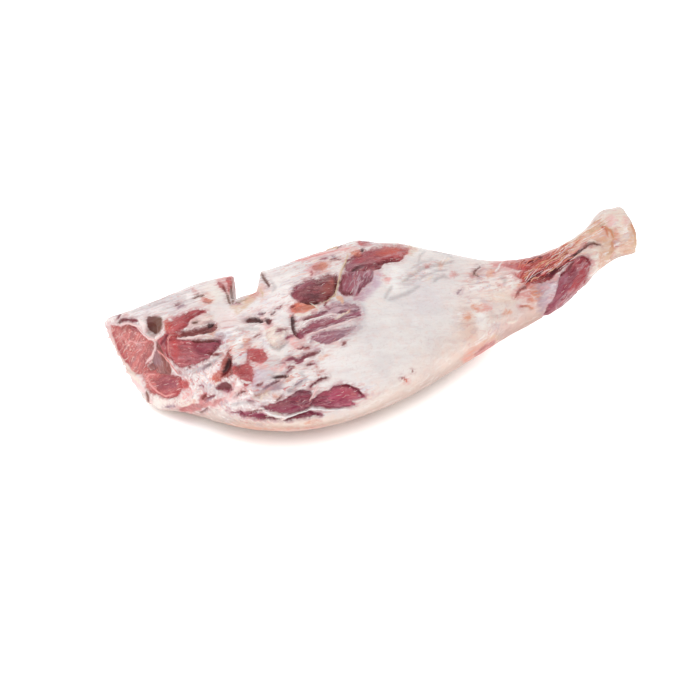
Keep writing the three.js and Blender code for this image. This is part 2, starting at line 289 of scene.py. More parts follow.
# Soft pink and orange stains in the fat.
stains = {
    "boneRed": area(("pink", "rust"), [
        (216, 280), (220, 276), (227, 274), (234, 275), (235, 290), (232, 296), (226, 294), (221, 289),
    ], bulge=0.0),
    "faceSpot": area("blood", [(125, 367), (129, 366), (132, 370), (130, 374), (126, 372)], bulge=0.2),
    "seamSpot": area("crimson", [(175, 369), (180, 369), (182, 373), (178, 375), (175, 373)], bulge=0.0),
    "redPatchTail": area("pink", [(256, 363), (264, 363), (270, 367), (266, 370), (258, 368)], bulge=0.0),
    "orangeStreak": area(("paleOrange", "rust"), [
        (242, 337), (248, 334), (251, 341), (251, 349), (246, 350), (243, 345),
    ], bulge=0.0),
    "pinkLobe": area("pink", [(183, 394), (188, 390), (193, 391), (190, 396), (185, 398)], bulge=0.0),
    "pinkPatch": area("pink", [
        (288, 338), (295, 335), (304, 336), (304, 343), (300, 351), (294, 349), (289, 344),
    ], bulge=0.2),
    "rimTop": area(("pink", "rust"), [
        (304, 270), (312, 266), (321, 264), (330, 264), (326, 270), (316, 273), (311, 276), (308, 273),
    ], bulge=0.0),
    "coverMark": area("pink", [(384, 278), (389, 277), (392, 280), (388, 284), (384, 283)], bulge=0.0),
    "kneeRed": area(("pink", "rust"), [
        (478, 352), (482, 342), (488, 338), (494, 340), (497, 346), (488, 352), (480, 358),
    ], bulge=0.2),
    "kneeTop": area(("paleOrange", "pink"), [
        (471, 306), (478, 304), (488, 304), (492, 308), (486, 312), (476, 311),
    ], bulge=0.1),
    "kneeDot": area("paleOrange", [(464, 315), (468, 313), (471, 317), (468, 321), (464, 320)], bulge=0.1),
    "neckRed": area(("pink", "rust"), [
        (490, 263), (500, 261), (512, 262), (526, 260), (522, 268), (510, 268), (498, 267),
    ], bulge=0.2),
    "neckSpot": area(("pink", "rust"), [
        (450, 274), (454, 272), (457, 275), (453, 278), (449, 277),
    ], bulge=0.0),
    "tornLow": area(("pink", "rust"), [
        (512, 293), (518, 288), (526, 286), (534, 289), (538, 297), (532, 302), (524, 300), (516, 298),
    ], bulge=0.0),
    "heelRed": area(("caramel", "coral"), [
        (611, 233), (616, 230), (619, 235), (617, 241), (612, 240),
    ], bulge=0.0),
    "heelPink": area(("pink", "palePink"), [
        (607, 217), (613, 216), (616, 221), (612, 226), (608, 223),
    ], bulge=0.0),
    "heelOrange": area(("caramel", "tan"), [
        (598, 262), (600, 246), (604, 238), (612, 240), (616, 250), (612, 258), (606, 266), (600, 270),
    ], bulge=0.2),
    "hockEdge": area(("caramel", "tan"), [
        (628, 224), (633, 224), (638, 238), (640, 248), (636, 254), (622, 254), (618, 248), (628, 244),
    ], bulge=0.2),
    "flankTan": area(("tan", "cream"), [
        (252, 399), (258, 394), (266, 391), (272, 393), (266, 399), (258, 401),
    ], bulge=0.0),
    "notchTan": area("tan", [
        (230, 306), (238, 304), (246, 300), (253, 298), (250, 305), (243, 311), (237, 314), (232, 310),
    ], bulge=0.0),
    "shankBrown": area(("rust", "paleOrange"), [
        (526, 286), (535, 284), (540, 290), (538, 300), (530, 303), (524, 297),
    ]),
    "neckFlesh": stroke(("pink", "cherry"), 6.0, [(496, 263), (506, 262), (517, 262), (527, 260)]),
    "slitHalo": stroke("pink", 6.0, [(262, 316), (265, 325), (272, 326)]),
    "bottomRust": stroke(("paleOrange", "rust"), 2.4, [
        (226, 425), (250, 428), (275, 430), (300, 429), (325, 426),
    ]),
    "bottomRustRight": stroke(("paleOrange", "rust"), 3.4, [(306, 423), (320, 421)]),
    "topPink": stroke(("palePink", "pink"), 5.0, [(292, 262), (312, 257), (332, 252), (352, 247)]),
    "coverCoral": stroke(("pink", "rust"), 3.0, [(376, 273), (383, 275), (388, 279)]),
    "lowerRose": stroke(("coral", "tan"), 11.0, [(464, 360), (476, 352), (487, 344), (498, 336)]),
    "flankBrown": stroke(("brownRed", "tan"), 6.0, [(255, 398), (262, 394), (270, 391)]),
    "fingerTan": area(("tan", "paleOrange"), [(206, 327), (212, 325), (216, 329), (214, 336), (208, 336)]),
    "curvePink": stroke("pink", 4.4, [(229, 388), (232, 394), (229, 400)]),
    "heelBrown": stroke(("caramel", "rust"), 9.0, [(606, 262), (611, 252), (612, 242)]),
    "heelTop": stroke(("caramel", "tendon"), 6.0, [(596, 229), (603, 227), (609, 231)]),
    "hockRust": stroke(("caramel", "rust"), 7.0, [(631, 226), (635, 236), (636, 248)]),
    "hockLow": stroke(("caramel", "tan"), 7.0, [(620, 246), (629, 248), (636, 250)]),
    "hockRose": stroke(("pink", "palePink"), 6.0, [(624, 218), (628, 224)]),
    "notchRust": stroke("rust", 3.0, [(244, 301), (251, 297), (259, 292)]),
    "heelCoral": stroke(("coral", "tendon"), 7.0, [(546, 261), (558, 254), (571, 248), (584, 240)]),
    "rootCoral": stroke(("salmon", "coral"), 5.0, [(520, 276), (530, 272), (541, 267)]),
}

# Tendons and tan connective tissue.
tendons = {
    "notchPink": area(("tendon", "palePink"), [
        (245, 300), (250, 293), (257, 287), (263, 283), (267, 288), (262, 294), (255, 299), (248, 303),
    ], bulge=0.2),
    "finger": area(("palePink", "cream"), [
        (186, 327), (187, 320), (195, 315), (205, 312), (214, 315), (212, 321), (204, 325), (195, 328),
        (189, 329),
    ], bulge=1.0),
    "knob": area("cream", [
        (265, 330), (270, 326), (279, 325), (287, 328), (288, 338), (284, 346), (277, 349), (270, 345),
        (266, 338),
    ], bulge=2.2),
    "heel": area("tendon", [
        (540, 255), (556, 249), (574, 239), (590, 227), (600, 222), (607, 226), (609, 236), (600, 241),
        (588, 244), (576, 251), (566, 261), (557, 268), (552, 264), (547, 260),
    ], bulge=0.4),
    "heelCream": area("cream", [
        (576, 256), (584, 249), (594, 246), (604, 247), (604, 260), (600, 270), (594, 278), (590, 274),
        (592, 264), (588, 257), (582, 255),
    ], bulge=0.4),
    "hockFace": area("cream", [
        (600, 214), (606, 209), (620, 208), (628, 213), (628, 222), (620, 226), (612, 222), (604, 222),
    ], bulge=0.3),
    "rimTip": area(("tan", "cream"), [
        (406, 247), (411, 244), (417, 246), (416, 252), (410, 256), (406, 253),
    ], bulge=0.2),
}

# Grey and purple flesh seen through the membrane.
veils = {
    "flankGrey": area("greyPurple", [
        (254, 398), (261, 391), (269, 385), (277, 381), (284, 381), (280, 388), (272, 393), (263, 399),
    ], bulge=0.0),
    "hollowHalo": area(("grey", "palePink"), [
        (208, 386), (216, 381), (228, 381), (240, 384), (242, 394), (232, 402), (218, 398), (210, 393),
    ], bulge=0.0),
    "flankBlue": area(("lavender", "grey"), [
        (252, 372), (262, 369), (272, 371), (274, 378), (266, 384), (256, 388), (251, 382),
    ], bulge=0.0),
    "lensTail": area(("plum", "greyPurple"), [
        (212, 340), (219, 335), (226, 335), (226, 341), (219, 346), (214, 346),
    ], bulge=0.0),
    "plumFade": area(("mauve", "lavender"), [
        (352, 298), (360, 290), (368, 282), (374, 272), (382, 272), (380, 284), (372, 294), (362, 302),
        (352, 303),
    ], bulge=0.0),
    "bandFade": area(("greyPurple", "grey"), [
        (330, 304), (344, 299), (358, 299), (366, 306), (368, 314), (360, 318), (344, 312),
    ], bulge=0.0),
    "lensFade": area(("greyPurple", "grey"), [
        (340, 332), (352, 326), (364, 322), (366, 328), (354, 335), (342, 340),
    ], bulge=0.0),
    "shankSilk": area(("greyPurple", "lavender"), [
        (536, 286), (545, 281), (554, 280), (559, 284), (556, 295), (548, 305), (542, 312), (537, 310),
        (536, 298),
    ], bulge=0.3),
    "shankSilkTop": area(("greyPurple", "mauve"), [
        (530, 285), (538, 279), (550, 278), (558, 277), (556, 285), (546, 288), (534, 291),
    ], bulge=0.0),
    "chumpOlive": area(("greyPurple", "brownRed"), [
        (121, 327), (127, 326), (132, 328), (131, 332), (125, 332),
    ], bulge=0.0),
    "shankDusk": stroke(("mauve", "greyPurple"), 8.0, [(532, 284), (544, 281), (556, 281)]),
    # painted bluish highlight at the end of the lens muscle
    "lensBlueHighlight": stroke(("lavender", "grey"), 6.0, [(222, 343), (227, 337), (231, 334)]),
    "poolBlue": stroke(("greyPurple", "lavender"), 6.0, [(209, 387), (214, 386)]),
}

# Darker and brighter parts within the muscles.
shades = {
    "lobeCore": stroke(("wine", "plum"), 14.0, [(157, 381), (167, 384), (176, 381)]),
    "lobeRim": stroke("crimson", 5.0, [(152, 388), (160, 394), (170, 395), (178, 391)]),
    "faceOlive": stroke("brownRed", 6.0, [(121, 328), (132, 328)]),
    "faceGrey": stroke(("brownRed", "greyPurple"), 8.0, [(149, 343), (155, 352), (158, 364)]),
    "faceRim": stroke("crimson", 4.0, [(114, 331), (117, 343), (123, 356), (131, 367)]),
    "lensDark": stroke(("wine", "plum"), 11.0, [(194, 344), (205, 347), (214, 344)]),
    "lensRed": stroke(("blood", "cherry"), 7.0, [(175, 340), (178, 350), (177, 362)]),
    "ovalBrown": stroke(("brownRed", "rust"), 8.0, [(322, 295), (328, 289), (333, 282)]),
    "ovalDark": stroke(("wine", "black"), 8.0, [(296, 294), (306, 297), (318, 298)]),
    "ovalSheen": stroke(("mauve", "wine"), 5.0, [(299, 289), (307, 285), (316, 284)]),
    "rimRust": stroke(("rust", "orange"), 8.0, [(376, 255), (388, 251), (399, 250)]),
    "rimWine": stroke(("wine", "crimson"), 6.0, [(362, 268), (376, 264), (390, 260), (402, 257)]),
    "rimPlum": stroke(("plum", "crimson"), 8.0, [(347, 268), (354, 263), (362, 259)]),
    "plumDark": stroke(("wine", "plum"), 8.0, [(345, 276), (344, 286), (349, 292)]),
    "bandDark": stroke(("wine", "plum"), 6.0, [(303, 332), (312, 327), (322, 322)]),
    "bandBrown": stroke(("wineBrown", "plum"), 5.0, [(318, 325), (330, 322), (341, 320)]),
    "bandLowDark": stroke(("plum", "greyPurple"), 6.0, [(322, 341), (334, 338), (345, 332)]),
    "leafCore": stroke("leafDark", 8.0, [(270, 408), (284, 409), (298, 407)]),
    "leafBright": stroke(("leafLight", "crimson"), 9.0, [(328, 397), (342, 393), (355, 394)]),
    "bellyBright": stroke(("crimson", "cherry"), 10.0, [(584, 268), (578, 280), (568, 290)]),
    "bellyDark": stroke(("wine", "plum"), 10.0, [(574, 268), (570, 280), (562, 292)]),
    "rootDark": stroke(("wine", "black"), 9.0, [(535, 279), (546, 273), (556, 269)]),
    "rootRed": stroke(("blood", "cherry"), 7.0, [(521, 269), (532, 265), (543, 261)]),
    "hollowDark": stroke(("darkBlood", "crimson"), 9.0, [(236, 368), (244, 373), (249, 380)]),
    "redPatchCore": stroke("crimson", 8.0, [(253, 354), (260, 357)]),
    "bellyFade": stroke(("plum", "mauve"), 8.0, [(549, 310), (555, 298), (560, 286), (566, 275)]),
}

# Dark holes, slits and shadows: their dark tints are painted shade in these grooves and holes, over the dark
# red of the flesh.
gaps = {
    "canal": area(("dark", "darkBrown"), [
        (147, 317), (155, 316), (162, 318), (161, 327), (157, 334), (151, 332), (147, 326),
    ], deep=0.0),
    "topStrip": stroke(("dark", "wine"), 3.6, [(117, 323), (123, 320), (131, 320), (138, 321)], deep=1.0),
    "faceDark": stroke("brownRed", 3.0, [(158, 344), (162, 354), (168, 364), (171, 372)], deep=0.6),
    "wedgeDark": stroke("wine", 2.6, [(168, 334), (164, 340), (161, 345)], deep=1.0),
    "lensTop": stroke(("wineBrown", "dark"), 3.0, [
        (192, 341), (202, 342), (211, 341), (218, 341),
    ], deep=1.4),
    "fingerHole": stroke("darkBrown", 2.6, [(192, 324), (198, 322)], deep=1.2),
    "fingerUnder": stroke(("wineBrown", "dark"), 3.6, [
        (180, 334), (192, 332), (204, 329), (211, 326),
    ], deep=1.6),
    "fingerEnd": stroke("black", 4.0, [(207, 326), (213, 324)], deep=1.6),
    "backSlit": stroke("darkBrown", 2.4, [(193, 298), (198, 295), (204, 295)], deep=1.4),
    "boneStripe": stroke("darkBrown", 2.4, [(226, 292), (228, 298), (231, 304)], deep=0.8),
    "boneStripeTwo": stroke("darkBrown", 2.2, [(231, 286), (232, 294), (233, 304)], deep=0.8),
    "boneStripeThree": stroke("wineBrown", 2.6, [(222, 286), (226, 291)], deep=0.6),
    "notchFoot": stroke(("darkBrown", "tan"), 1.6, [(236, 303), (243, 300), (250, 297)], deep=0.6),
    "notchHook": stroke(("darkBrown", "dark"), 2.8, [
        (261, 273), (264, 277), (267, 282), (269, 287),
    ], deep=1.2),
    "notchInner": stroke("tan", 1.4, [(259, 288), (263, 293), (262, 297)], deep=0.4),
    "pelvisSlit": stroke(("dark", "black"), 4.6, [
        (245, 321), (251, 320), (258, 320), (263, 321),
    ], deep=2.4),
    "pelvisNick": stroke(("greyPurple", "dark"), 2.0, [(258, 314), (265, 313)], deep=1.0),
    "pelvisNickTwo": stroke("dark", 1.8, [(270, 314), (273, 313)], deep=0.8),
    "pelvisDot": area(("black", "darkBlood"), [
        (265, 319), (269, 318), (272, 320), (270, 324), (266, 323),
    ], deep=1.8),
    "hollowCore": stroke(("black", "darkBlood"), 5.0, [
        (229, 358), (229, 365), (226, 371), (221, 377),
    ], deep=2.2),
    "hollowPool": area(("wine", "dark"), [
        (215, 389), (220, 384), (226, 382), (231, 385), (229, 390), (222, 391),
    ], deep=1.6),
    "stripBump": stroke("wineBrown", 4.0, [(202, 399), (206, 395)], deep=0.4),
    "smallNick": stroke(("greyPurple", "dark"), 2.2, [(202, 369), (206, 366), (210, 364)], deep=0.8),
    "flankStrip": stroke(("black", "dark"), 3.4, [(273, 378), (280, 377), (288, 376)], deep=1.6),
    "flankStripTwo": stroke(("greyPurple", "dark"), 2.6, [(262, 390), (270, 385), (280, 381)], deep=0.8),
    "jagged": stroke(("plum", "dark"), 3.6, [
        (286, 360), (293, 358), (299, 360), (305, 356), (312, 354), (320, 351),
    ], deep=1.4),
    "jaggedTwo": stroke("plum", 3.0, [(295, 363), (300, 361), (304, 359)], deep=1.0),
    "leafNick": stroke(("wine", "dark"), 2.6, [(309, 387), (316, 383), (321, 379), (328, 377)], deep=1.2),
    "leafLine": stroke(("leafDark", "dark"), 2.4, [
        (230, 413), (240, 412), (246, 415), (258, 416), (268, 418), (280, 419),
    ], deep=1.2),
    "leafLineRight": stroke(("dark", "leafDark"), 2.6, [
        (286, 419), (298, 416), (308, 411), (313, 413), (322, 414),
    ], deep=1.2),
    "leafRim": stroke("wine", 2.4, [(340, 385), (350, 386), (358, 391), (364, 396)], deep=1.0),
    "bandEdge": stroke(("black", "dark"), 4.0, [(293, 316), (293, 323), (294, 331), (297, 337)], deep=2.0),
    "bandFoot": stroke(("wine", "plum"), 4.0, [(297, 335), (301, 334)], deep=1.2),
    "bandUpper": stroke(("dark", "plum"), 2.4, [(303, 319), (311, 316), (320, 315)], deep=1.0),
    "bandRight": stroke(("plum", "mauve"), 3.0, [(346, 316), (354, 313), (361, 312)], deep=0.8),
    "ovalLow": stroke("dark", 2.2, [(300, 301), (310, 304), (320, 303)], deep=0.8),
    "ovalRight": stroke("dark", 2.6, [(335, 276), (336, 284), (334, 293)], deep=1.0),
    "ovalTop": stroke("wine", 1.8, [(300, 286), (306, 283), (313, 281)], deep=0.8),
    "plumLeft": stroke(("wine", "dark"), 2.4, [(346, 273), (341, 282), (342, 293), (352, 294)], deep=0.8),
    "rimHole": stroke("black", 3.4, [(361, 251), (364, 250)], deep=1.6),
    "rimSeam": stroke("wine", 2.0, [(346, 262), (353, 257), (362, 256)], deep=0.8),
    "rimSeamLow": stroke(("wine", "dark"), 2.2, [(362, 272), (372, 266), (384, 262), (399, 260)], deep=1.0),
    "neckMark": stroke(("darkBrown", "dark"), 2.0, [(473, 275), (476, 270), (480, 266)], deep=0.8),
    "neckMarkTwo": stroke("darkBrown", 1.6, [(474, 272), (479, 277)], deep=0.6),
    "coverNick": stroke("greyPurple", 1.8, [(457, 294), (461, 289)], deep=0.5),
    "coverCut": stroke(("dark", "orange"), 2.6, [(401, 377), (404, 379), (407, 382)], deep=1.0),
    "coverDot": stroke("brownRed", 3.0, [(411, 371), (413, 371)], deep=0.4),
    "foldLine": stroke(("rust", "caramel"), 2.4, [(520, 306), (527, 306), (533, 309)], deep=1.0),
    "shankSlit": stroke(("wineBrown", "black"), 3.4, [
        (553, 275), (560, 269), (568, 262), (575, 254), (583, 248),
    ], deep=1.8),
    "shankSlitTop": stroke(("dark", "darkBrown"), 2.4, [
        (581, 250), (587, 245), (594, 243), (601, 245),
    ], deep=1.2),
    "shankDark": stroke(("wine", "dark"), 3.0, [(524, 263), (534, 262), (543, 257)], deep=1.0),
    "shankDarkTwo": stroke(("dark", "wine"), 3.0, [(526, 283), (533, 276), (543, 272)], deep=1.2),
    "shankDarkThree": stroke(("dark", "wine"), 3.4, [(540, 279), (548, 276), (556, 273)], deep=1.0),
    "bellySplit": stroke(("wine", "dark"), 2.2, [(561, 276), (568, 270), (574, 262)], deep=0.8),
    "bellyEdge": stroke("wine", 2.2, [(577, 258), (585, 258), (589, 264)], deep=0.6),
    "heelShade": stroke(("rust", "caramel"), 2.6, [(600, 225), (606, 229), (608, 236)], deep=0.6),
    "cornerMark": stroke(("darkBrown", "brownRed"), 3.0, [(147, 391), (148, 397), (149, 402)], deep=0.6),
    "leafBand": stroke(("plum", "leafDark"), 5.0, [(240, 414), (250, 414), (264, 416)], deep=0.8),
    "hollowBlack": stroke("black", 5.0, [(222, 374), (227, 368), (229, 361)], deep=2.0),
    "poolBlack": stroke(("black", "dark"), 4.4, [(217, 388), (222, 386), (227, 384)], deep=1.0),
    "shankWine": stroke(("wine", "black"), 4.4, [(529, 262), (535, 260), (542, 257)], deep=0.8),
    "shankCore": stroke(("black", "wine"), 3.6, [(549, 277), (556, 270), (563, 265)], deep=1.2),
    "rimDuskLow": stroke(("black", "wine"), 3.0, [(352, 272), (360, 268), (368, 267)], deep=0.6),
    "lensCorner": stroke(("wineBrown", "black"), 3.4, [(207, 340), (213, 341), (218, 343)], deep=1.0),
}

# White and cream sinew on top of the muscles.
sinews = {
    "rimLeft": stroke("palePink", 4.6, [
        (106, 328), (108, 340), (114, 354), (123, 368), (134, 381), (146, 392), (152, 404),
    ]),
    "canalFrame": stroke(("palePink", "white"), 2.6, [
        (120, 325), (130, 323), (137, 326), (142, 333), (149, 338), (156, 340), (162, 334), (164, 326),
    ]),
    "canalLeft": stroke(("white", "palePink"), 4.0, [(139, 319), (143, 325), (147, 332)]),
    "yStem": stroke("palePink", 2.2, [(155, 339), (155, 348), (152, 356), (146, 363)]),
    "yArm": stroke(("pink", "white"), 2.8, [(157, 350), (163, 355), (169, 362), (174, 369), (179, 375)]),
    "lensLine": stroke(("palePink", "white"), 1.8, [
        (176, 338), (184, 339), (193, 338), (202, 336), (212, 336),
    ]),
    "lensLeft": stroke(("pink", "salmon"), 1.6, [(170, 334), (168, 342), (168, 352)]),
    "lobeLine": stroke("pink", 1.8, [(148, 378), (151, 384), (157, 391), (166, 396), (176, 393)]),
    "faceThread": stroke(("pink", "palePink"), 1.4, [(123, 346), (131, 341), (139, 343), (148, 341)]),
    "faceThreadTwo": stroke(("salmon", "pink"), 1.4, [(121, 356), (127, 350), (134, 353), (140, 349)]),
    "faceThreadThree": stroke(("pink", "salmon"), 1.4, [(116, 335), (124, 337), (131, 344)]),
    "lobeThread": stroke("pink", 1.6, [(146, 380), (150, 374), (156, 374)]),
    "ovalStrand": stroke(("tan", "cream"), 2.4, [
        (348, 253), (346, 261), (342, 270), (339, 279), (337, 287), (335, 295), (329, 300), (321, 304),
    ]),
    "ovalCorner": stroke("tendon", 4.0, [(336, 297), (341, 299), (343, 303)]),
    "topLine": stroke(("pink", "palePink"), 2.2, [
        (292, 262), (302, 260), (314, 256), (326, 253), (338, 250), (351, 248),
    ]),
    "bandSinew": stroke(("palePink", "white"), 1.8, [
        (304, 336), (316, 332), (330, 327), (343, 323), (354, 319), (362, 316),
    ]),
    "bandSinewTop": stroke(("white", "palePink"), 1.4, [
        (302, 325), (309, 320), (320, 317), (332, 314), (345, 314),
    ]),
    "bandHook": stroke(("cream", "tendon"), 1.6, [(334, 320), (340, 317), (346, 313), (350, 310)]),
    "blobTail": stroke("cream", 2.2, [(310, 303), (315, 306), (319, 310)]),
    "blobUnder": stroke(("cream", "white"), 2.4, [(295, 315), (303, 315), (311, 312)]),
    "leafBridge": stroke(("palePink", "pink"), 2.6, [(318, 385), (315, 391), (312, 397), (309, 401)]),
    "leafBelow": stroke("white", 2.2, [
        (262, 411), (272, 415), (286, 417), (300, 413), (312, 409), (330, 410), (348, 409),
    ]),
    "bellyTendon": stroke(("palePink", "tendon"), 1.8, [
        (557, 271), (564, 266), (571, 260), (577, 256), (586, 253),
    ]),
    "shankThread": stroke(("paleOrange", "tendon"), 1.8, [(530, 271), (540, 266), (550, 260), (558, 255)]),
    "shankThreadTwo": stroke("paleOrange", 1.6, [(524, 279), (532, 273), (542, 268), (551, 262)]),
    "heelRidge": stroke(("cream", "white"), 1.8, [(576, 236), (584, 231), (592, 228), (602, 223)]),
    "topHump": stroke(("tan", "cream"), 2.8, [(308, 255), (314, 253), (322, 252)]),
    "topHumpRight": stroke("tan", 2.8, [(326, 251), (331, 248), (336, 247), (338, 250)]),
    "hockBand": stroke(("caramel", "tan"), 3.0, [(603, 226), (611, 231), (614, 239)]),
    "hockBandLow": stroke(("caramel", "tan"), 4.6, [(612, 242), (611, 251), (606, 260)]),
    "hockBandRight": stroke(("caramel", "tan"), 3.6, [(631, 224), (635, 234), (636, 246)]),
    "faceFat": stroke(("palePink", "cream"), 5.0, [
        (108, 322), (110, 334), (114, 346), (120, 358), (129, 370), (141, 384),
    ]),
}

# Creases in the pale membrane: real grooves, drawn darker with painted shade.
creases = {
    "coverRight": stroke("grey", 4.0, [(392, 286), (388, 293), (385, 300)], deep=0.5),
    "knobRound": stroke("grey", 3.6, [
        (269, 344), (274, 348), (279, 349), (285, 345), (289, 341),
    ], deep=1.0),
    "pelvisFold": stroke("grey", 3.4, [(272, 281), (275, 287), (273, 292)], deep=0.7),
    "pelvisLong": stroke("grey", 4.0, [(236, 330), (248, 328), (260, 329)], deep=0.6),
    "lowFold": stroke("grey", 4.0, [(190, 372), (202, 368), (214, 362), (222, 354)], deep=0.6),
    "backLine": stroke("grey", 2.6, [(132, 312), (150, 306), (168, 301), (186, 296)], deep=0.7),
    "backLineTwo": stroke("grey", 2.4, [(150, 304), (166, 298), (182, 294), (194, 290)], deep=0.6),
    "backLineThree": stroke("grey", 2.4, [(160, 310), (178, 304), (194, 300)], deep=0.6),
    "backLineFour": stroke("grey", 2.2, [(176, 300), (184, 298), (188, 302)], deep=0.5),
    "flankFold": stroke("grey", 3.4, [(232, 404), (244, 403), (256, 402)], deep=0.7),
    "flankFoldTwo": stroke("grey", 3.4, [(288, 392), (296, 386), (304, 382)], deep=0.7),
    "flankFoldThree": stroke("grey", 3.4, [(300, 372), (306, 378), (304, 384)], deep=0.5),
    "neckFold": stroke("grey", 3.4, [(500, 276), (506, 280), (504, 286)], deep=0.4),
    "coverLong": stroke("grey", 2.8, [
        (402, 282), (409, 277), (416, 273), (422, 269), (430, 266), (440, 264), (453, 262),
    ], deep=1.1),
    "coverShort": stroke("grey", 3.0, [(433, 282), (438, 278), (444, 276), (449, 278)], deep=0.9),
    "coverSoft": stroke("grey", 3.6, [
        (388, 301), (396, 298), (404, 295), (411, 291), (420, 286),
    ], deep=0.9),
    "coverFine": stroke("grey", 1.8, [(412, 268), (422, 262), (432, 259), (440, 261)], deep=0.6),
    "coverFineLow": stroke("grey", 1.8, [(420, 279), (428, 274), (437, 271), (447, 270)], deep=0.6),
    "coverHook": stroke("grey", 2.0, [(433, 251), (441, 252), (449, 255), (453, 258)], deep=0.6),
    "coverTail": stroke("grey", 1.8, [(418, 262), (420, 256), (425, 252)], deep=0.5),
}

# Soft colour of the fat cover: middle and size in pixels, turn in degrees. The white spots on the knee and
# on the membrane are painted highlights; the rosy and warm tones along the lower rim are painted shade over
# the fat's warm colour.
coverTones = {
    "silver": {"tint": (231, 225, 223), "at": (405, 305), "size": (60, 26), "turn": -20, "strength": 1.6},
    "silverLow": {"tint": (238, 231, 228), "at": (370, 340), "size": (45, 26), "turn": -20, "strength": 1.2},
    "lilac": {"tint": (224, 213, 220), "at": (425, 300), "size": (22, 14), "turn": -20, "strength": 1.2},
    "peach": {"tint": (238, 214, 198), "at": (470, 345), "size": (50, 16), "turn": -32, "strength": 2.0},
    "peachTop": {"tint": (248, 230, 220), "at": (490, 290), "size": (32, 26), "turn": -14, "strength": 1.8},
    # the next two tones: painted shade along the lower rim, darker than the cover, over the fat's rosy and
    # warm colour
    "roseRimShade": {"tint": (212, 168, 160), "at": (510, 329), "size": (38, 9), "turn": -32, "strength": 2.8},
    "warmRimShade": {"tint": (230, 210, 197), "at": (400, 393), "size": (60, 9), "turn": -24, "strength": 2.2},
    "warmFoot": {"tint": (238, 216, 198), "at": (290, 424), "size": (70, 5), "turn": -2, "strength": 2.6},
    "whiteMid": {"tint": (250, 242, 240), "at": (330, 365), "size": (36, 16), "turn": -20, "strength": 1.2},
    "whitePelvis": {"tint": (252, 244, 242), "at": (268, 305), "size": (24, 26), "turn": 0, "strength": 2.0},
    "pelvisPink": {"tint": (240, 216, 214), "at": (230, 322), "size": (14, 10), "turn": 0, "strength": 1.6},
    "backPale": {"tint": (250, 240, 240), "at": (165, 303), "size": (44, 8), "turn": -20, "strength": 2.0},
    "boneCream": {"tint": (238, 228, 216), "at": (214, 292), "size": (10, 8), "turn": -20, "strength": 1.8},
    "cornerFat": {"tint": (246, 232, 220), "at": (172, 407), "size": (26, 8), "turn": 4, "strength": 2.2},
    "flankCool": {"tint": (226, 208, 210), "at": (262, 392), "size": (24, 12), "turn": -14, "strength": 1.6},
    "lensBelow": {"tint": (242, 228, 226), "at": (205, 372), "size": (22, 10), "turn": -20, "strength": 1.4},
    "hockTan": {"tint": (234, 200, 176), "at": (616, 238), "size": (20, 20), "turn": 0, "strength": 2.4},
    "neckTan": {"tint": (226, 196, 176), "at": (530, 318), "size": (20, 9), "turn": -30, "strength": 2.0},
    # the next two tones: painted highlights, small white spots on the knee and on the membrane
    "kneeHighlight": {"tint": (255, 253, 250), "at": (481, 322), "size": (4, 11), "turn": 4, "strength": 4.0},
    "coverHighlight": {"tint": (253, 250, 246), "at": (394, 281), "size": (6, 12), "turn": 14, "strength": 4.0},
    "kneePeach": {"tint": (240, 200, 178), "at": (470, 332), "size": (9, 20), "turn": -16, "strength": 2.4},
    "neckOrange": {"tint": (240, 206, 176), "at": (503, 299), "size": (14, 6), "turn": -10, "strength": 2.0},
    "neckRose": {"tint": (236, 192, 184), "at": (500, 272), "size": (24, 6), "turn": -4, "strength": 2.0},
}

# Where the membrane is torn; a calm zone has no gaps strewn over it.
roughZones = {
    "backEdge": {"at": (160, 306), "size": (60, 16), "turn": -20, "share": 0.6},
    "hollow": {"at": (222, 365), "size": (52, 44), "turn": 0, "share": 1.0},
    "strip": {"at": (215, 402), "size": (50, 12), "turn": -8, "share": 0.9},
    "pelvis": {"at": (262, 320), "size": (30, 40), "turn": 0, "share": 0.45},
    "flank": {"at": (275, 388), "size": (50, 20), "turn": -14, "share": 1.0},
    "leafEdge": {"at": (300, 405), "size": (80, 14), "turn": -12, "share": 0.8},
    "ovalSide": {"at": (315, 290), "size": (40, 30), "turn": -20, "share": 0.8},
    "bands": {"at": (325, 325), "size": (40, 26), "turn": -16, "share": 0.7},
    "topEdge": {"at": (340, 252), "size": (70, 12), "turn": -16, "share": 0.9},
    "jagged": {"at": (300, 360), "size": (28, 14), "turn": -14, "share": 0.8},
    "wrinkles": {"at": (425, 272), "size": (34, 10), "turn": -22, "share": 0.5, "calm": True},
    "knee": {"at": (482, 320), "size": (30, 34), "turn": -20, "share": 0.4, "calm": True},
    "neck": {"at": (500, 275), "size": (40, 16), "turn": -8, "share": 0.75, "calm": True},
    "shank": {"at": (560, 270), "size": (46, 30), "turn": -34, "share": 0.8, "calm": True},
    "hock": {"at": (614, 236), "size": (26, 26), "turn": 0, "share": 0.6, "calm": True},
}


def linkObject(name, mesh):
    made = bpy.data.objects.new(name, mesh)
    bpy.context.scene.collection.objects.link(made)
    return made


def plainCopy(source, name):
    depsgraph = bpy.context.evaluated_depsgraph_get()
    mesh = bpy.data.meshes.new_from_object(source.evaluated_get(depsgraph))
    mesh.name = name
    return mesh


def positions(mesh):
    flat = np.empty(len(mesh.vertices) * 3)
    mesh.vertices.foreach_get("co", flat)
    return flat.reshape(-1, 3)


def setPositions(mesh, points):
    mesh.vertices.foreach_set("co", points.reshape(-1).astype(np.float32))
    mesh.update()


def vertexNormals(mesh):
    flat = np.empty(len(mesh.vertices) * 3, np.float32)
    mesh.vertex_normals.foreach_get("vector", flat)
    return flat.reshape(-1, 3).astype(float)


def edgesOf(mesh):
    flat = np.empty(len(mesh.edges) * 2, np.int32)
    mesh.edges.foreach_get("vertices", flat)
    return flat.reshape(-1, 2)


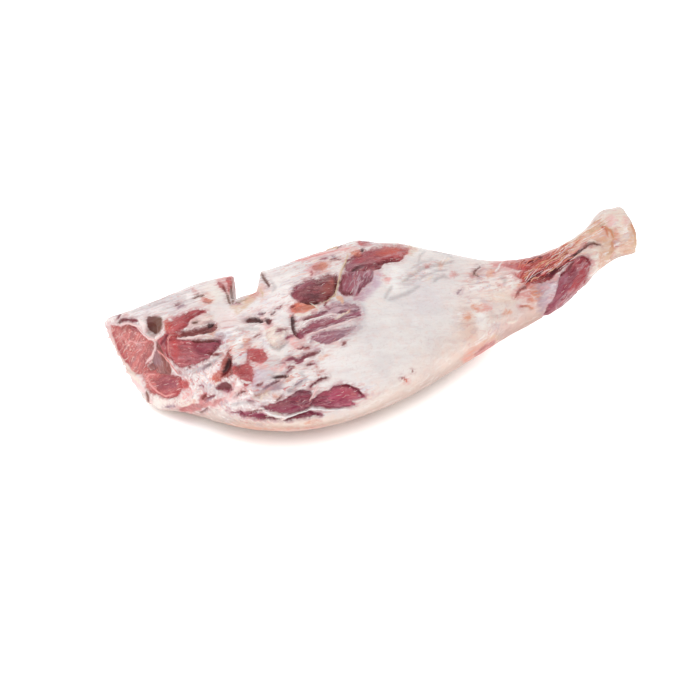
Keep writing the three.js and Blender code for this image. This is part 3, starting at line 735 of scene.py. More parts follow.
def averageOfNeighbours(values, edges):
    total = np.zeros_like(values)
    count = np.bincount(edges.reshape(-1), minlength=len(values))
    for axis in range(values.shape[1]):
        total[:, axis] += np.bincount(edges[:, 0], values[edges[:, 1], axis], len(values))
        total[:, axis] += np.bincount(edges[:, 1], values[edges[:, 0], axis], len(values))
    return total / np.maximum(count, 1)[:, None]


def smoothMesh(mesh, rounds, pull=0.5, push=0.52):
    points = positions(mesh)
    edges = edgesOf(mesh)
    for _ in range(rounds):
        points = points + pull * (averageOfNeighbours(points, edges) - points)
        points = points - push * (averageOfNeighbours(points, edges) - points)
    setPositions(mesh, points)


def treeOf(mesh):
    corners = [Vector(point) for point in positions(mesh)]
    return BVHTree.FromPolygons(corners, [tuple(polygon.vertices) for polygon in mesh.polygons])


def blend(a, b, share):
    return a * (1 - share) + b * share


def step(low, high, value):
    t = np.clip((value - low) / (high - low), 0, 1)
    return t * t * (3 - 2 * t)


def noiseAt(points, scale, seed=0.0):
    shift = Vector((seed, 2 * seed, 3 * seed))
    return np.array([noise.noise(Vector(p) * scale + shift) for p in points])


def saveAttribute(mesh, name, kind, values):
    attribute = mesh.attributes.new(name, kind, "POINT")
    key = {"FLOAT": "value", "FLOAT_VECTOR": "vector", "FLOAT_COLOR": "color"}[kind]
    attribute.data.foreach_set(key, values.reshape(-1).astype(np.float32))


def saveTint(mesh, name, tint):
    saveAttribute(mesh, name, "FLOAT_COLOR", np.hstack([tint, np.ones((len(tint), 1))]))


# The skin of the leg: voxel in metres, the plain middle of the cover in pixels. That middle stays
# coarse, which keeps the skin under 200,000 triangles. The wraps say how far a layer goes on past the
# edge that the photo shows, as the cosine to the camera.
legValues = {
    "voxel": 0.0022,
    "smoothRounds": 11,
    "weld": 1e-5,
    "plainLeft": 385,
    "plainRight": 448,
    "plainTop": 292,
    "plainSlope": 0.1,
    "refineFrom": 0.02,
    "outlineWobble": 1.3,
    "wrapOver": 0.3,
    "wrapThin": 0.04,
    "wrapPixels": 14,
    "thinWobble": 0.5,
    "shownFrom": -0.25,
    "shownTo": 0.05,
    "reach": 9.0,
    "coverBase": (236, 228, 224),
    # painted shade: the cover is darkened where the skin faces down
    "underShadeTint": (0.66, 0.56, 0.52),
    "underShadeFrom": 0.05,
    "underShadeTo": -0.5,
    "sheen": 0.14,
}
reach = legValues["reach"]


def makeSkin():
    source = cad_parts["leg"]
    raw = linkObject("rawSkin", source.data.copy())
    bm = bmesh.new()
    bm.from_mesh(raw.data)
    bmesh.ops.remove_doubles(bm, verts=bm.verts, dist=legValues["weld"])
    bm.to_mesh(raw.data)
    bm.free()
    remesh = raw.modifiers.new("voxels", "REMESH")
    remesh.mode = "VOXEL"
    remesh.voxel_size = legValues["voxel"]
    mesh = plainCopy(raw, "legSkin")
    bpy.data.objects.remove(raw)
    smoothMesh(mesh, legValues["smoothRounds"])
    return mesh


def facingShare(points, normals):
    away = viewEye - points
    away /= np.linalg.norm(away, axis=1)[:, None]
    return away, (away * normals).sum(1)


def refineSeenSide(mesh):
    points = positions(mesh)
    _, facing = facingShare(points, vertexNormals(mesh))
    across, down = toPixels(points)
    plain = (across > legValues["plainLeft"]) & (across < legValues["plainRight"])
    plain &= down > legValues["plainTop"] - legValues["plainSlope"] * (across - legValues["plainLeft"])
    fine = (facing > legValues["refineFrom"]) & ~plain
    bm = bmesh.new()
    bm.from_mesh(mesh)
    bm.verts.ensure_lookup_table()
    chosen = [face for face in bm.faces if all(fine[v.index] for v in face.verts)]
    edges = {edge for face in chosen for edge in face.edges}
    bmesh.ops.subdivide_edges(bm, edges=list(edges), cuts=1, use_grid_fill=True)
    bmesh.ops.triangulate(bm, faces=[face for face in bm.faces if len(face.verts) > 4])
    bm.to_mesh(mesh)
    bm.free()
    smoothMesh(mesh, 1)


# A point is hidden when a ray from just off the skin to the camera meets the skin again; in metres.
hiddenValues = {"offSkin": 0.0008, "offEye": 0.004, "leastFacing": 0.12}


def seenFrom(mesh):
    points = positions(mesh)
    normals = vertexNormals(mesh)
    away, facing = facingShare(points, normals)
    tree = treeOf(mesh)
    hidden = np.zeros(len(points), bool)
    for index in np.nonzero(facing > -legValues["wrapOver"])[0]:
        start = points[index] + normals[index] * hiddenValues["offSkin"]
        start += away[index] * hiddenValues["offEye"]
        if tree.ray_cast(Vector(start), Vector(away[index]))[0] is not None:
            hidden[index] = facing[index] > hiddenValues["leastFacing"]
    return facing, hidden


# Distances to the outlines, in photo pixels, positive inside.
def roundedOutline(corners, steps=4):
    made = []
    count = len(corners)
    for i in range(count):
        p0, p1, p2, p3 = (np.array(corners[(i + k) % count], float) for k in (-1, 0, 1, 2))
        for s in range(steps):
            t = s / steps
            made.append(0.5 * (2 * p1 + (p2 - p0) * t + (2 * p0 - 5 * p1 + 4 * p2 - p3) * t ** 2
                               + (3 * p1 - p0 - 3 * p2 + p3) * t ** 3))
    return np.array(made)


def nearestOnLine(points, x, y):
    best = np.full(len(x), 1e9)
    along = np.zeros(len(x))
    lengths = np.linalg.norm(points[1:] - points[:-1], axis=1)
    starts = np.concatenate([[0], np.cumsum(lengths)])
    for i in range(len(points) - 1):
        run = points[i + 1] - points[i]
        t = ((x - points[i, 0]) * run[0] + (y - points[i, 1]) * run[1]) / max(run @ run, 1e-9)
        t = np.clip(t, 0, 1)
        distance = np.hypot(x - points[i, 0] - t * run[0], y - points[i, 1] - t * run[1])
        closer = distance < best
        best[closer] = distance[closer]
        along[closer] = (starts[i] + t[closer] * lengths[i]) / max(starts[-1], 1e-9)
    return best, along


def insideOutline(points, x, y):
    inside = np.zeros(len(x), bool)
    for i in range(len(points)):
        (x0, y0), (x1, y1) = points[i - 1], points[i]
        if y0 == y1:
            continue
        crosses = (y0 > y) != (y1 > y)
        inside ^= crosses & (x < (x1 - x0) * (y - y0) / (y1 - y0) + x0)
    return inside


def shapeDistance(shape, x, y):
    if "outline" in shape:
        ring = roundedOutline(shape["outline"])
        closed = np.vstack([ring, ring[:1]])
        distance, _ = nearestOnLine(closed, x, y)
        inside = insideOutline(ring, x, y)
        along = (x - ring[:, 0].min()) / max(np.ptp(ring[:, 0]), 1e-6)
        return np.where(inside, distance, -distance), np.clip(along, 0, 1)
    points = np.array(shape["line"], float)
    distance, along = nearestOnLine(points, x, y)
    taper = np.sqrt(np.clip(1 - (2 * along - 1) ** 4, 0.1, 1))
    return shape["width"] / 2 * taper - distance, along


# Small tears, red flecks and pale flecks strewn over the torn zones: pixels and degrees.
nickValues = {
    "seed": 7,
    "perZone": 16,
    "length": (3.0, 12.0),
    "width": (1.0, 2.4),
    "stainWidth": 2.2,
    "turn": -20,
    "turnSpread": 18,
    "bend": 1.2,
    "deep": (0.3, 0.9),
}
nickKinds = {
    # the dark tears are painted shade over dark flesh, as in the gaps
    "gap": (gaps, ["wine", "plum", "dark", "wineBrown", "greyPurple"]),
    "stain": (stains, ["pink", "rust", "salmon", "paleOrange", "mauve"]),
    "sinew": (sinews, ["white", "palePink", "cream"]),
}
tornChoice = ["gap", "gap", "stain", "stain", "sinew"]
calmChoice = ["stain", "sinew"]


def insideMuscle(x, y):
    spot = np.array([x]), np.array([y])
    return any(insideOutline(np.array(muscle["outline"], float), *spot)[0] for muscle in muscles.values())


def spotInZone(zone, draw):
    turn = math.radians(zone["turn"])
    far = math.sqrt(draw.random())
    around = draw.uniform(0, 2 * math.pi)
    u = far * math.cos(around) * zone["size"][0]
    v = far * math.sin(around) * zone["size"][1]
    x = zone["at"][0] + u * math.cos(turn) - v * math.sin(turn)
    y = zone["at"][1] + u * math.sin(turn) + v * math.cos(turn)
    return x, y


def strewNicks():
    draw = random.Random(nickValues["seed"])
    for zoneName, zone in roughZones.items():
        for index in range(round(nickValues["perZone"] * zone["share"])):
            x, y = spotInZone(zone, draw)
            angle = math.radians(nickValues["turn"] + draw.gauss(0, nickValues["turnSpread"]))
            length = draw.uniform(*nickValues["length"])
            width = draw.uniform(*nickValues["width"])
            kind = draw.choice(calmChoice if "calm" in zone else tornChoice)
            shapes, nickTints = nickKinds[kind]
            tint = draw.choice(nickTints)
            bend = draw.uniform(-nickValues["bend"], nickValues["bend"])
            dx = length / 2 * math.cos(angle)
            dy = length / 2 * math.sin(angle)
            nick = stroke(tint, width, [(x - dx, y - dy), (x, y + bend), (x + dx, y + dy)])
            if kind == "stain":
                nick["width"] *= nickValues["stainWidth"]
            if kind == "gap":
                nick["deep"] = draw.uniform(*nickValues["deep"])
            if not insideMuscle(x, y):
                shapes[f"{zoneName}Nick{index}"] = nick


strewNicks()


def shapeBox(shape, x, y):
    corners = np.array(shape.get("outline") or shape["line"], float)
    low = corners.min(0) - reach
    high = corners.max(0) + reach
    return np.nonzero((x > low[0]) & (x < high[0]) & (y > low[1]) & (y < high[1]))[0]


# What a shape has when it doesn't say: shares from 0 to 1, the rise of a bulge in pixels from its edge.
shapeDefaults = {"marbling": 0.25, "film": 0.2, "width": 6, "bulgeRise": 5, "deepFrom": -0.8}


def paintShapes(shapes, x, y, limit):
    count = len(x)
    field = np.full(count, -reach)
    tint = np.tile(np.array(linear(tints["pink"])), (count, 1))
    grain = np.stack([x, y], 1)
    lift = np.zeros(count)
    shares = np.tile([shapeDefaults["marbling"], shapeDefaults["film"]], (count, 1))
    for shape in shapes.values():
        near = shapeBox(shape, x, y)
        if not len(near):
            continue
        distance, along = shapeDistance(shape, x[near], y[near])
        closer = distance > field[near]
        chosen = near[closer]
        start, end = (np.array(linear(tints[name])) for name in shape["tint"])
        field[chosen] = distance[closer]
        tint[chosen] = blend(start, end, along[closer][:, None])
        angle = math.radians(shape.get("grain", 0))
        grain[chosen, 0] = x[chosen] * math.cos(angle) + y[chosen] * math.sin(angle)
        grain[chosen, 1] = -x[chosen] * math.sin(angle) + y[chosen] * math.cos(angle)
        shares[chosen] = [shape.get(key, shapeDefaults[key]) for key in ("marbling", "film")]
        if "bulge" in shape:
            lift[chosen] = shape["bulge"] * step(0, shapeDefaults["bulgeRise"], distance[closer])
        if "deep" in shape:
            room = shape.get("width", shapeDefaults["width"]) / 2
            lift[chosen] = -shape["deep"] * step(shapeDefaults["deepFrom"], room, distance[closer])
    return np.minimum(field, limit), tint, np.hstack([grain, shares]), lift


def zoneCoordinates(zone, x, y):
    turn = math.radians(zone["turn"])
    dx = x - zone["at"][0]
    dy = y - zone["at"][1]
    u = (dx * math.cos(turn) + dy * math.sin(turn)) / zone["size"][0]
    v = (-dx * math.sin(turn) + dy * math.cos(turn)) / zone["size"][1]
    return u, v


def paintTones(x, y):
    total = np.ones(len(x))
    colour = np.tile(np.array(linear(legValues["coverBase"])), (len(x), 1))
    for tone in coverTones.values():
        u, v = zoneCoordinates(tone, x, y)
        weight = tone["strength"] * np.exp(-(u * u + v * v))
        colour += weight[:, None] * np.array(linear(tone["tint"]))
        total += weight
    return colour / total[:, None]


# How torn the cover is outside the zones and on the sides that the photo doesn't show, and where a
# zone fades, as a share of its size.
roughValues = {"least": 0.12, "unseen": 0.3, "fadeFrom": 1.35, "fadeTo": 0.6}


def paintRough(x, y):
    share = np.full(len(x), roughValues["least"])
    for zone in roughZones.values():
        u, v = zoneCoordinates(zone, x, y)
        within = step(roughValues["fadeFrom"], roughValues["fadeTo"], np.hypot(u, v))
        share = np.maximum(share, zone["share"] * within)
    return share


# Sides that the photo doesn't show, in millimetres: a spot lies on the skin round a point. It fades
# where the skin turns away from its direction.
hiddenSpots = {
    "muscle": {
        "notchWall": {"tint": "cherry", "at": (-122, 52, 46), "facing": (1, 0, 0), "size": (16, 26, 22)},
        "notchFar": {"tint": "plum", "at": (-108, 60, 44), "facing": (-1, 0.2, 0), "size": (16, 22, 18)},
        "outerShank": {"tint": "plum", "at": (150, 16, 44), "facing": (0, 1, -0.2), "size": (34, 16, 13)},
        "shankUnder": {"tint": "wine", "at": (138, -10, 26), "facing": (0, -0.3, -1), "size": (26, 16, 12)},
    },
    "tendon": {
        "hockRing": {"tint": "cream", "at": (224, 6, 85), "facing": (1, 0, 0), "size": (12, 17, 15)},
        "backbone": {"tint": "cream", "at": (-121, 66, 62), "facing": (1, 0, 0), "size": (12, 11, 10)},
        "outerHeel": {"tint": "tendon", "at": (196, 22, 92), "facing": (0, 1, 0.2), "size": (40, 12, 9)},
    },
    "raw": {
        "hockMarrow": {"tint": "rust", "at": (224, 6, 85), "facing": (1, 0, 0), "size": (12, 6, 5.5)},
        "backboneCore": {"tint": "rust", "at": (-121, 66, 62), "facing": (1, 0, 0), "size": (12, 5, 4.5)},
    },
}
spotValues = {"turnFrom": 0.15, "turnTo": 0.5, "wobble": 1.6, "turnedAway": 8, "edge": 12, "edgeShift": 3}


def paintSpots(spots, points, normals, wobble):
    count = len(points)
    field = np.full(count, -reach)
    tint = np.tile(np.array(linear(tints["pink"])), (count, 1))
    for spot in spots.values():
        size = np.array(spot["size"]) / 1000
        away = np.linalg.norm((points - np.array(spot["at"]) / 1000) / size, axis=1)
        direction = np.array(spot["facing"], float)
        direction /= np.linalg.norm(direction)
        towards = step(spotValues["turnFrom"], spotValues["turnTo"], normals @ direction)
        distance = (1 - away) * size.min() * 1000
        distance += wobble * spotValues["wobble"] - (1 - towards) * spotValues["turnedAway"]
        closer = distance > field
        field[closer] = distance[closer]
        tint[closer] = linear(tints[spot["tint"]])
    return np.maximum(field, -reach), tint


# The fat of the sides that the photo doesn't show: fades in metres along the leg and over the table.
outerValues = {
    "base": (238, 222, 212),
    "shank": (222, 186, 172),
    "rosy": (226, 192, 188),
    "foot": (228, 198, 172),
    "shankFrom": 0.05,
    "shankTo": 0.2,
    "rosyScale": 22,
    "rosyShare": 0.5,
    "footHeight": 0.03,
    "footShare": 0.25,
}


def outerTone(points):
    names = ("base", "shank", "rosy", "foot")
    base, shank, rosy, foot = (np.array(linear(outerValues[name])) for name in names)
    toShank = step(outerValues["shankFrom"], outerValues["shankTo"], points[:, 0])[:, None]
    cloud = noiseAt(points, outerValues["rosyScale"], 3)
    blotch = outerValues["rosyShare"] * step(-0.15, 0.45, cloud)[:, None]
    low = outerValues["footShare"] * step(outerValues["footHeight"], 0.0, points[:, 2])[:, None]
    return blend(blend(blend(base, shank, toShank), rosy, blotch), foot, low)


# Relief of the skin in millimetres, and the scales of the noise that shapes it. A place is the middle
# and the width of a lip or groove, in pixels inwards from the edge of its shape.
reliefValues = {
    "coarseScale": 130,
    "fineScale": 420,
    "coarseShare": 1.5,
    "fineShare": 0.7,
    "swellScale": 45,
    "foldScale": 150,
    "wispScale": 330,
    "foldStretch": (0.28, 1.0, 1.0),
    "ridgeLevel": 0.55,
    "fibre": 0.3,
    "fibreStretch": (0.06, 0.55),
    "muscleLip": 0.55,
    "lipPlace": (-1.7, 1.3),
    "muscleGroove": 0.8,
    "groovePlace": (0.5, 1.1),
    "sinew": 0.45,
    "tendonGroove": 0.3,
    "tendonPlace": (0, 1.2),
    "tornCoarse": 0.25,
    "tornFine": 0.175,
    "swell": 0.45,
    "pebble": 0.2,
    "fold": 0.75,
    "wisp": 0.45,
    "grit": 0.12,
    "restHeight": 0.004,
}
skinLayers = {
    "muscle": muscles,
    "raw": raws,
    "stain": stains,
    "tendon": tendons,
    "veil": veils,
    "shade": shades,
    "gap": gaps,
    "sinew": sinews,
    "creaseShade": creases,
}
thinLayers = ("gap", "sinew", "creaseShade")


def readSkin(mesh):
    facing, hidden = seenFrom(mesh)
    points = positions(mesh)
    x, y = toPixels(points)
    coarse = noiseAt(points, reliefValues["coarseScale"], 1)
    fine = noiseAt(points, reliefValues["fineScale"], 5)
    coarseDown = noiseAt(points, reliefValues["coarseScale"], 9)
    fineDown = noiseAt(points, reliefValues["fineScale"], 13)
    drift = legValues["outlineWobble"]
    coarseShare = reliefValues["coarseShare"]
    fineShare = reliefValues["fineShare"]
    return {
        "points": points,
        "normals": vertexNormals(mesh),
        "x": x,
        "y": y,
        "bentX": x + drift * (coarseShare * coarse + fineShare * fine),
        "bentY": y + drift * (coarseShare * coarseDown + fineShare * fineDown),
        "coarse": coarse,
        "fine": fine,
        "facing": facing,
        "hidden": hidden,
        "shown": step(legValues["shownFrom"], legValues["shownTo"], facing) * (1 - hidden),
    }


def layerLimit(skin, wrap):
    room = (skin["facing"] + legValues[wrap]) * legValues["wrapPixels"]
    return np.where(skin["hidden"], -reach, room)


def addHiddenSpots(spots, skin, field, tint):
    other, otherTint = paintSpots(spots, skin["points"], skin["normals"], skin["coarse"])
    other = np.minimum(other, (1 - skin["shown"]) * spotValues["edge"] - spotValues["edgeShift"])
    better = other > field
    return np.where(better, other, field), np.where(better[:, None], otherTint, tint)


def fibreRelief(mesh, grain, field):
    saveAttribute(mesh, "grain", "FLOAT_VECTOR", grain[:, :3])
    saveAttribute(mesh, "film", "FLOAT", grain[:, 3])
    along, across = reliefValues["fibreStretch"]
    fibre = np.array([noise.noise(Vector((u * along, v * across, 0))) for u, v, *_ in grain])
    return reliefValues["fibre"] * fibre * step(0, 2, field)


def paintLayers(mesh, skin):
    fields = {}
    lift = np.zeros(len(skin["points"]))
    for name, shapes in skinLayers.items():
        px, py = skin["bentX"], skin["bentY"]
        if name in thinLayers:
            px = skin["x"] + legValues["thinWobble"] * (px - skin["x"])
            py = skin["y"] + legValues["thinWobble"] * (py - skin["y"])
        limit = layerLimit(skin, "wrapOver" if name == "muscle" else "wrapThin")
        field, tint, grain, ownLift = paintShapes(shapes, px, py, limit)
        if name in hiddenSpots:
            field, tint = addHiddenSpots(hiddenSpots[name], skin, field, tint)
        saveAttribute(mesh, name, "FLOAT", field)
        if name != "creaseShade":
            saveTint(mesh, name + "Tint", tint)
        fields[name] = field
        lift += ownLift * (limit > 0)
        if name == "muscle":
            lift += fibreRelief(mesh, grain, field)
    return fields, lift


def hump(field, middle, width):
    return np.exp(-((field - middle) / width) ** 2)


def ridges(points, scale, seed):
    return 1 - 2 * np.abs(noiseAt(points, scale, seed)) - reliefValues["ridgeLevel"]


def edgeRelief(fields, skin):
    lift = reliefValues["muscleLip"] * hump(fields["muscle"], *reliefValues["lipPlace"])
    lift -= reliefValues["muscleGroove"] * hump(fields["muscle"], *reliefValues["groovePlace"])
    lift += reliefValues["sinew"] * step(-0.6, 1.0, fields["sinew"])
    lift -= reliefValues["tendonGroove"] * hump(fields["tendon"], *reliefValues["tendonPlace"])
    lumps = reliefValues["tornCoarse"] * skin["coarse"] + reliefValues["tornFine"] * skin["fine"]
    return lift + lumps * step(-1, 2, fields["raw"])


def coverRelief(fields, skin, rough):
    points = skin["points"]
    cover = 1 - step(-1, 1, np.maximum(fields["muscle"], fields["raw"]))
    stretched = points * np.array(reliefValues["foldStretch"])
    folds = reliefValues["fold"] * ridges(stretched, reliefValues["foldScale"], 23)
    wisps = reliefValues["wisp"] * ridges(stretched, reliefValues["wispScale"], 29)
    swell = reliefValues["swell"] * noiseAt(points, reliefValues["swellScale"], 17)
    torn = rough * (folds + wisps + reliefValues["grit"] * skin["fine"])
    return cover * (swell + reliefValues["pebble"] * skin["coarse"] + torn)


def coverTint(skin):
    tone = paintTones(skin["bentX"], skin["bentY"])
    shown = skin["shown"][:, None]
    # painted shade: darker and browner on the shown skin that faces down, towards the table
    downwards = step(legValues["underShadeFrom"], legValues["underShadeTo"], skin["normals"][:, 2])
    under = shown * downwards[:, None]
    tone = tone * blend(1, np.array(legValues["underShadeTint"]), under)
    return blend(outerTone(skin["points"]), tone, shown)


def sculptSkin(mesh):
    skin = readSkin(mesh)
    points = skin["points"]
    fields, lift = paintLayers(mesh, skin)
    rough = blend(roughValues["unseen"], paintRough(skin["bentX"], skin["bentY"]), skin["shown"])
    lift += edgeRelief(fields, skin) + coverRelief(fields, skin, rough)
    # the resting face stays flat on the table
    flat = step(0.0, reliefValues["restHeight"], points[:, 2])
    moved = points + skin["normals"] * (lift * flat / 1000)[:, None]
    moved[:, 2] = np.maximum(moved[:, 2], 0)
    setPositions(mesh, moved)
    saveAttribute(mesh, "rough", "FLOAT", rough)
    saveTint(mesh, "coverTint", coverTint(skin))
    print("skin sculpted", len(points), "points", len(mesh.polygons), "faces")


# Shader building blocks.
def addNode(tree, kind, inputs=None, **settings):
    made = tree.nodes.new(kind)
    made.location = (180 * (len(tree.nodes) % 12), -160 * (len(tree.nodes) // 12))
    for name, value in settings.items():
        setattr(made, name, value)
    for name, value in (inputs or {}).items():
        if isinstance(value, bpy.types.NodeSocket):
            tree.links.new(value, made.inputs[name])
        else:
            made.inputs[name].default_value = value
    return made


def calc(tree, operation, a, b):
    return addNode(tree, "ShaderNodeMath", {0: a, 1: b}, operation=operation).outputs[0]


def times(tree, a, b):
    return calc(tree, "MULTIPLY", a, b)


def mixColours(tree, factor, a, b, blend="MIX"):
    made = addNode(tree, "ShaderNodeMix", {0: factor, 6: a, 7: b}, data_type="RGBA", blend_type=blend)
    return made.outputs[2]


def mixValues(tree, factor, a, b):
    return addNode(tree, "ShaderNodeMix", {0: factor, 2: a, 3: b}).outputs[0]


def ramp(tree, value, low, high, start=0.0, end=1.0):
    made = addNode(tree, "ShaderNodeMapRange", {
        "Value": value, "From Min": low, "From Max": high, "To Min": start, "To Max": end,
    }, interpolation_type="SMOOTHSTEP")
    return made.outputs[0]


def noiseTexture(tree, vector, scale, detail=4.0, roughness=0.55, distortion=0.0):
    made = addNode(tree, "ShaderNodeTexNoise", {
        "Vector": vector, "Scale": scale, "Detail": detail, "Roughness": roughness,
        "Distortion": distortion,
    })
    return made.outputs["Fac"]


def scaled(tree, vector, factors):
    return addNode(tree, "ShaderNodeVectorMath", {0: vector, 1: factors}, operation="MULTIPLY").outputs[0]


def stretchedNoise(tree, vector, factors, detail=4.0, roughness=0.6, distortion=0.0, scale=1.0):
    return noiseTexture(tree, scaled(tree, vector, factors), scale, detail, roughness, distortion)


def blotches(tree, colour, other, value, low, high, strength):
    return mixColours(tree, times(tree, ramp(tree, value, low, high), strength), colour, other)


def newGroup(name, inputs, outputs):
    tree = bpy.data.node_groups.new(name, "ShaderNodeTree")
    for label, kind, value in inputs:
        socket = tree.interface.new_socket(name=label, in_out="INPUT", socket_type="NodeSocket" + kind)
        if value is not None:
            socket.default_value = value
    for label, kind in outputs:
        tree.interface.new_socket(name=label, in_out="OUTPUT", socket_type="NodeSocket" + kind)
    start = tree.nodes.new("NodeGroupInput")
    end = tree.nodes.new("NodeGroupOutput")
    return tree, start.outputs, end.inputs


def makeTornEdge():
    tree, given, result = newGroup("tornEdge", [
        ("Distance", "Float", 0.0), ("Position", "Vector", None), ("Wobble", "Float", 1.0),
        ("Scale", "Float", 500.0), ("Softness", "Float", 0.6),
    ], [("Mask", "Float")])
    wave = calc(tree, "SUBTRACT", noiseTexture(tree, given["Position"], given["Scale"], 3.0), 0.5)
    moved = calc(tree, "ADD", given["Distance"], calc(tree, "MULTIPLY", wave, given["Wobble"]))
    low = calc(tree, "MULTIPLY", given["Softness"], -1.0)
    tree.links.new(ramp(tree, moved, low, given["Softness"]), result["Mask"])
    return tree


# Linear colours that the flesh is mixed with.
fleshTones = {
    "dark": (0.46, 0.34, 0.38, 1),
    "bright": (0.9, 0.34, 0.34, 1),
    "lit": (0.95, 0.5, 0.46, 1),
    "film": (0.64, 0.46, 0.5, 1),
    "thread": (0.82, 0.56, 0.5, 1),
    "fleck": (0.86, 0.66, 0.6, 1),
}


def makeMuscleLook():
    tree, given, result = newGroup("muscleLook", [
        ("Tint", "Color", None), ("Grain", "Vector", None), ("Position", "Vector", None),
        ("Contrast", "Float", 0.75), ("Marbling", "Float", 0.3), ("Film", "Float", 0.2),
    ], [("Color", "Color"), ("Height", "Float")])
    grain = given["Grain"]
    threads = stretchedNoise(tree, grain, (0.1, 1.1, 0.4), 5.0, 0.65, 0.4)
    bundles = stretchedNoise(tree, grain, (0.05, 0.32, 0.6), 3.0, 0.6, 0.8)
    haze = stretchedNoise(tree, grain, (0.04, 0.22, 1.0), 4.0, 0.6, 1.6)
    fatThread = stretchedNoise(tree, grain, (0.07, 0.42, 1.0), 4.0, 0.7, 1.6, 1.3)
    mottle = noiseTexture(tree, given["Position"], 62.0, 5.0, 0.65)
    flecks = noiseTexture(tree, given["Position"], 620.0, 3.0, 0.6)
    both = calc(tree, "ADD", times(tree, threads, 0.5), times(tree, bundles, 0.5))
    dark = mixColours(tree, 1.0, given["Tint"], fleshTones["dark"], "MULTIPLY")
    bright = mixColours(tree, 0.2, given["Tint"], fleshTones["bright"])
    spread = mixColours(tree, ramp(tree, both, 0.36, 0.64), dark, bright)
    colour = mixColours(tree, given["Contrast"], given["Tint"], spread)
    colour = blotches(tree, colour, dark, mottle, 0.5, 0.66, 0.75)
    lit = mixColours(tree, 0.25, colour, fleshTones["lit"])
    colour = blotches(tree, colour, lit, mottle, 0.48, 0.3, 0.6)
    colour = blotches(tree, colour, fleshTones["film"], haze, 0.46, 0.68, given["Film"])
    colour = blotches(tree, colour, fleshTones["thread"], fatThread, 0.57, 0.66, given["Marbling"])
    colour = blotches(tree, colour, fleshTones["fleck"], flecks, 0.6, 0.72, given["Marbling"])
    tree.links.new(colour, result["Color"])
    tree.links.new(both, result["Height"])
    return tree


# Linear colours of the fat: the first three multiply its tint.
fatTones = {
    "cool": (0.84, 0.83, 0.86, 1),
    "blush": (1.0, 0.84, 0.79, 1),
    "shade": (0.66, 0.54, 0.56, 1),
    "strand": (0.94, 0.9, 0.88, 1),
    "lilac": (0.55, 0.48, 0.57, 1),
    "fleshDark": (0.62, 0.2, 0.21, 1),
    "fleshLight": (0.78, 0.42, 0.36, 1),
}


def makeFatLook():
    tree, given, result = newGroup("fatLook", [
        ("Tint", "Color", None), ("Position", "Vector", None), ("Mottle", "Float", 0.4),
        ("Torn", "Float", 0.0),
    ], [("Color", "Color"), ("Height", "Float")])
    place = given["Position"]
    torn = given["Torn"]
    broad = noiseTexture(tree, place, 34.0, 3.0)
    middle = noiseTexture(tree, place, 120.0, 4.0, 0.6)
    small = noiseTexture(tree, place, 420.0, 4.0, 0.65)
    silk = stretchedNoise(tree, place, (38.0, 170.0, 150.0), 5.0, 0.6, 1.0)
    flesh = stretchedNoise(tree, place, (70.0, 250.0, 210.0), 4.0, 0.6, 1.8)
    lilac = stretchedNoise(tree, place, (48.0, 120.0, 140.0), 3.0, 0.5, 1.4)
    cool = mixColours(tree, 1.0, given["Tint"], fatTones["cool"], "MULTIPLY")
    blush = mixColours(tree, 1.0, given["Tint"], fatTones["blush"], "MULTIPLY")
    shade = mixColours(tree, 1.0, given["Tint"], fatTones["shade"], "MULTIPLY")
    colour = blotches(tree, given["Tint"], cool, broad, 0.4, 0.68, 0.6)
    colour = blotches(tree, colour, blush, middle, 0.46, 0.74, given["Mottle"])
    # painted shade: darker in the low parts of the silk folds
    colour = blotches(tree, colour, shade, silk, 0.5, 0.34, torn)
    colour = blotches(tree, colour, fatTones["strand"], silk, 0.54, 0.66, calc(tree, "ADD", torn, 0.12))
    colour = blotches(tree, colour, fatTones["lilac"], lilac, 0.54, 0.68, times(tree, torn, 0.6))
    clotted = ramp(tree, middle, 0.4, 0.6)
    fleshTone = mixColours(tree, clotted, fatTones["fleshDark"], fatTones["fleshLight"])
    colour = blotches(tree, colour, fleshTone, flesh, 0.54, 0.62, times(tree, torn, 0.85))
    colour = blotches(tree, colour, shade, small, 0.52, 0.75, 0.3)
    fold = times(tree, silk, calc(tree, "ADD", torn, 0.25))
    height = calc(tree, "ADD", times(tree, small, 0.3), fold)
    tree.links.new(colour, result["Color"])
    tree.links.new(height, result["Height"])
    return tree


tornEdge = makeTornEdge()
muscleLook = makeMuscleLook()
fatLook = makeFatLook()


def useGroup(tree, group, inputs):
    made = tree.nodes.new("ShaderNodeGroup")
    made.node_tree = group
    for name, value in inputs.items():
        if isinstance(value, bpy.types.NodeSocket):
            tree.links.new(value, made.inputs[name])
        else:
            made.inputs[name].default_value = value
    return made.outputs


def attribute(tree, name, kind="Fac"):
    return addNode(tree, "ShaderNodeAttribute", attribute_name=name).outputs[kind]


def tintOf(tree, name):
    return attribute(tree, name + "Tint", "Color")


def newMaterial(name):
    material = bpy.data.materials.new(name)
    material.use_nodes = True
    tree = material.node_tree
    return material, tree, tree.nodes["Principled BSDF"]


def setSurface(surface, values):
    for name, value in values.items():
        surface.inputs[name].default_value = value


# How each layer of the skin meets the next: edge wobble and softness in pixels, strength.
layerEdges = {
    "veil": (3.0, 3.2, 0.8),
    "tendon": (3.0, 2.0, 0.8),
    "muscle": (3.0, 1.1, 1.0),
    "stain": (6.0, 2.6, 0.8),
    "raw": (3.2, 1.2, 0.9),
    "shade": (5.0, 2.6, 0.7),
    "sinew": (1.6, 0.9, 0.85),
    "gap": (2.6, 1.2, 0.95),
    "creaseShade": (1.8, 2.0, 0.45),
}
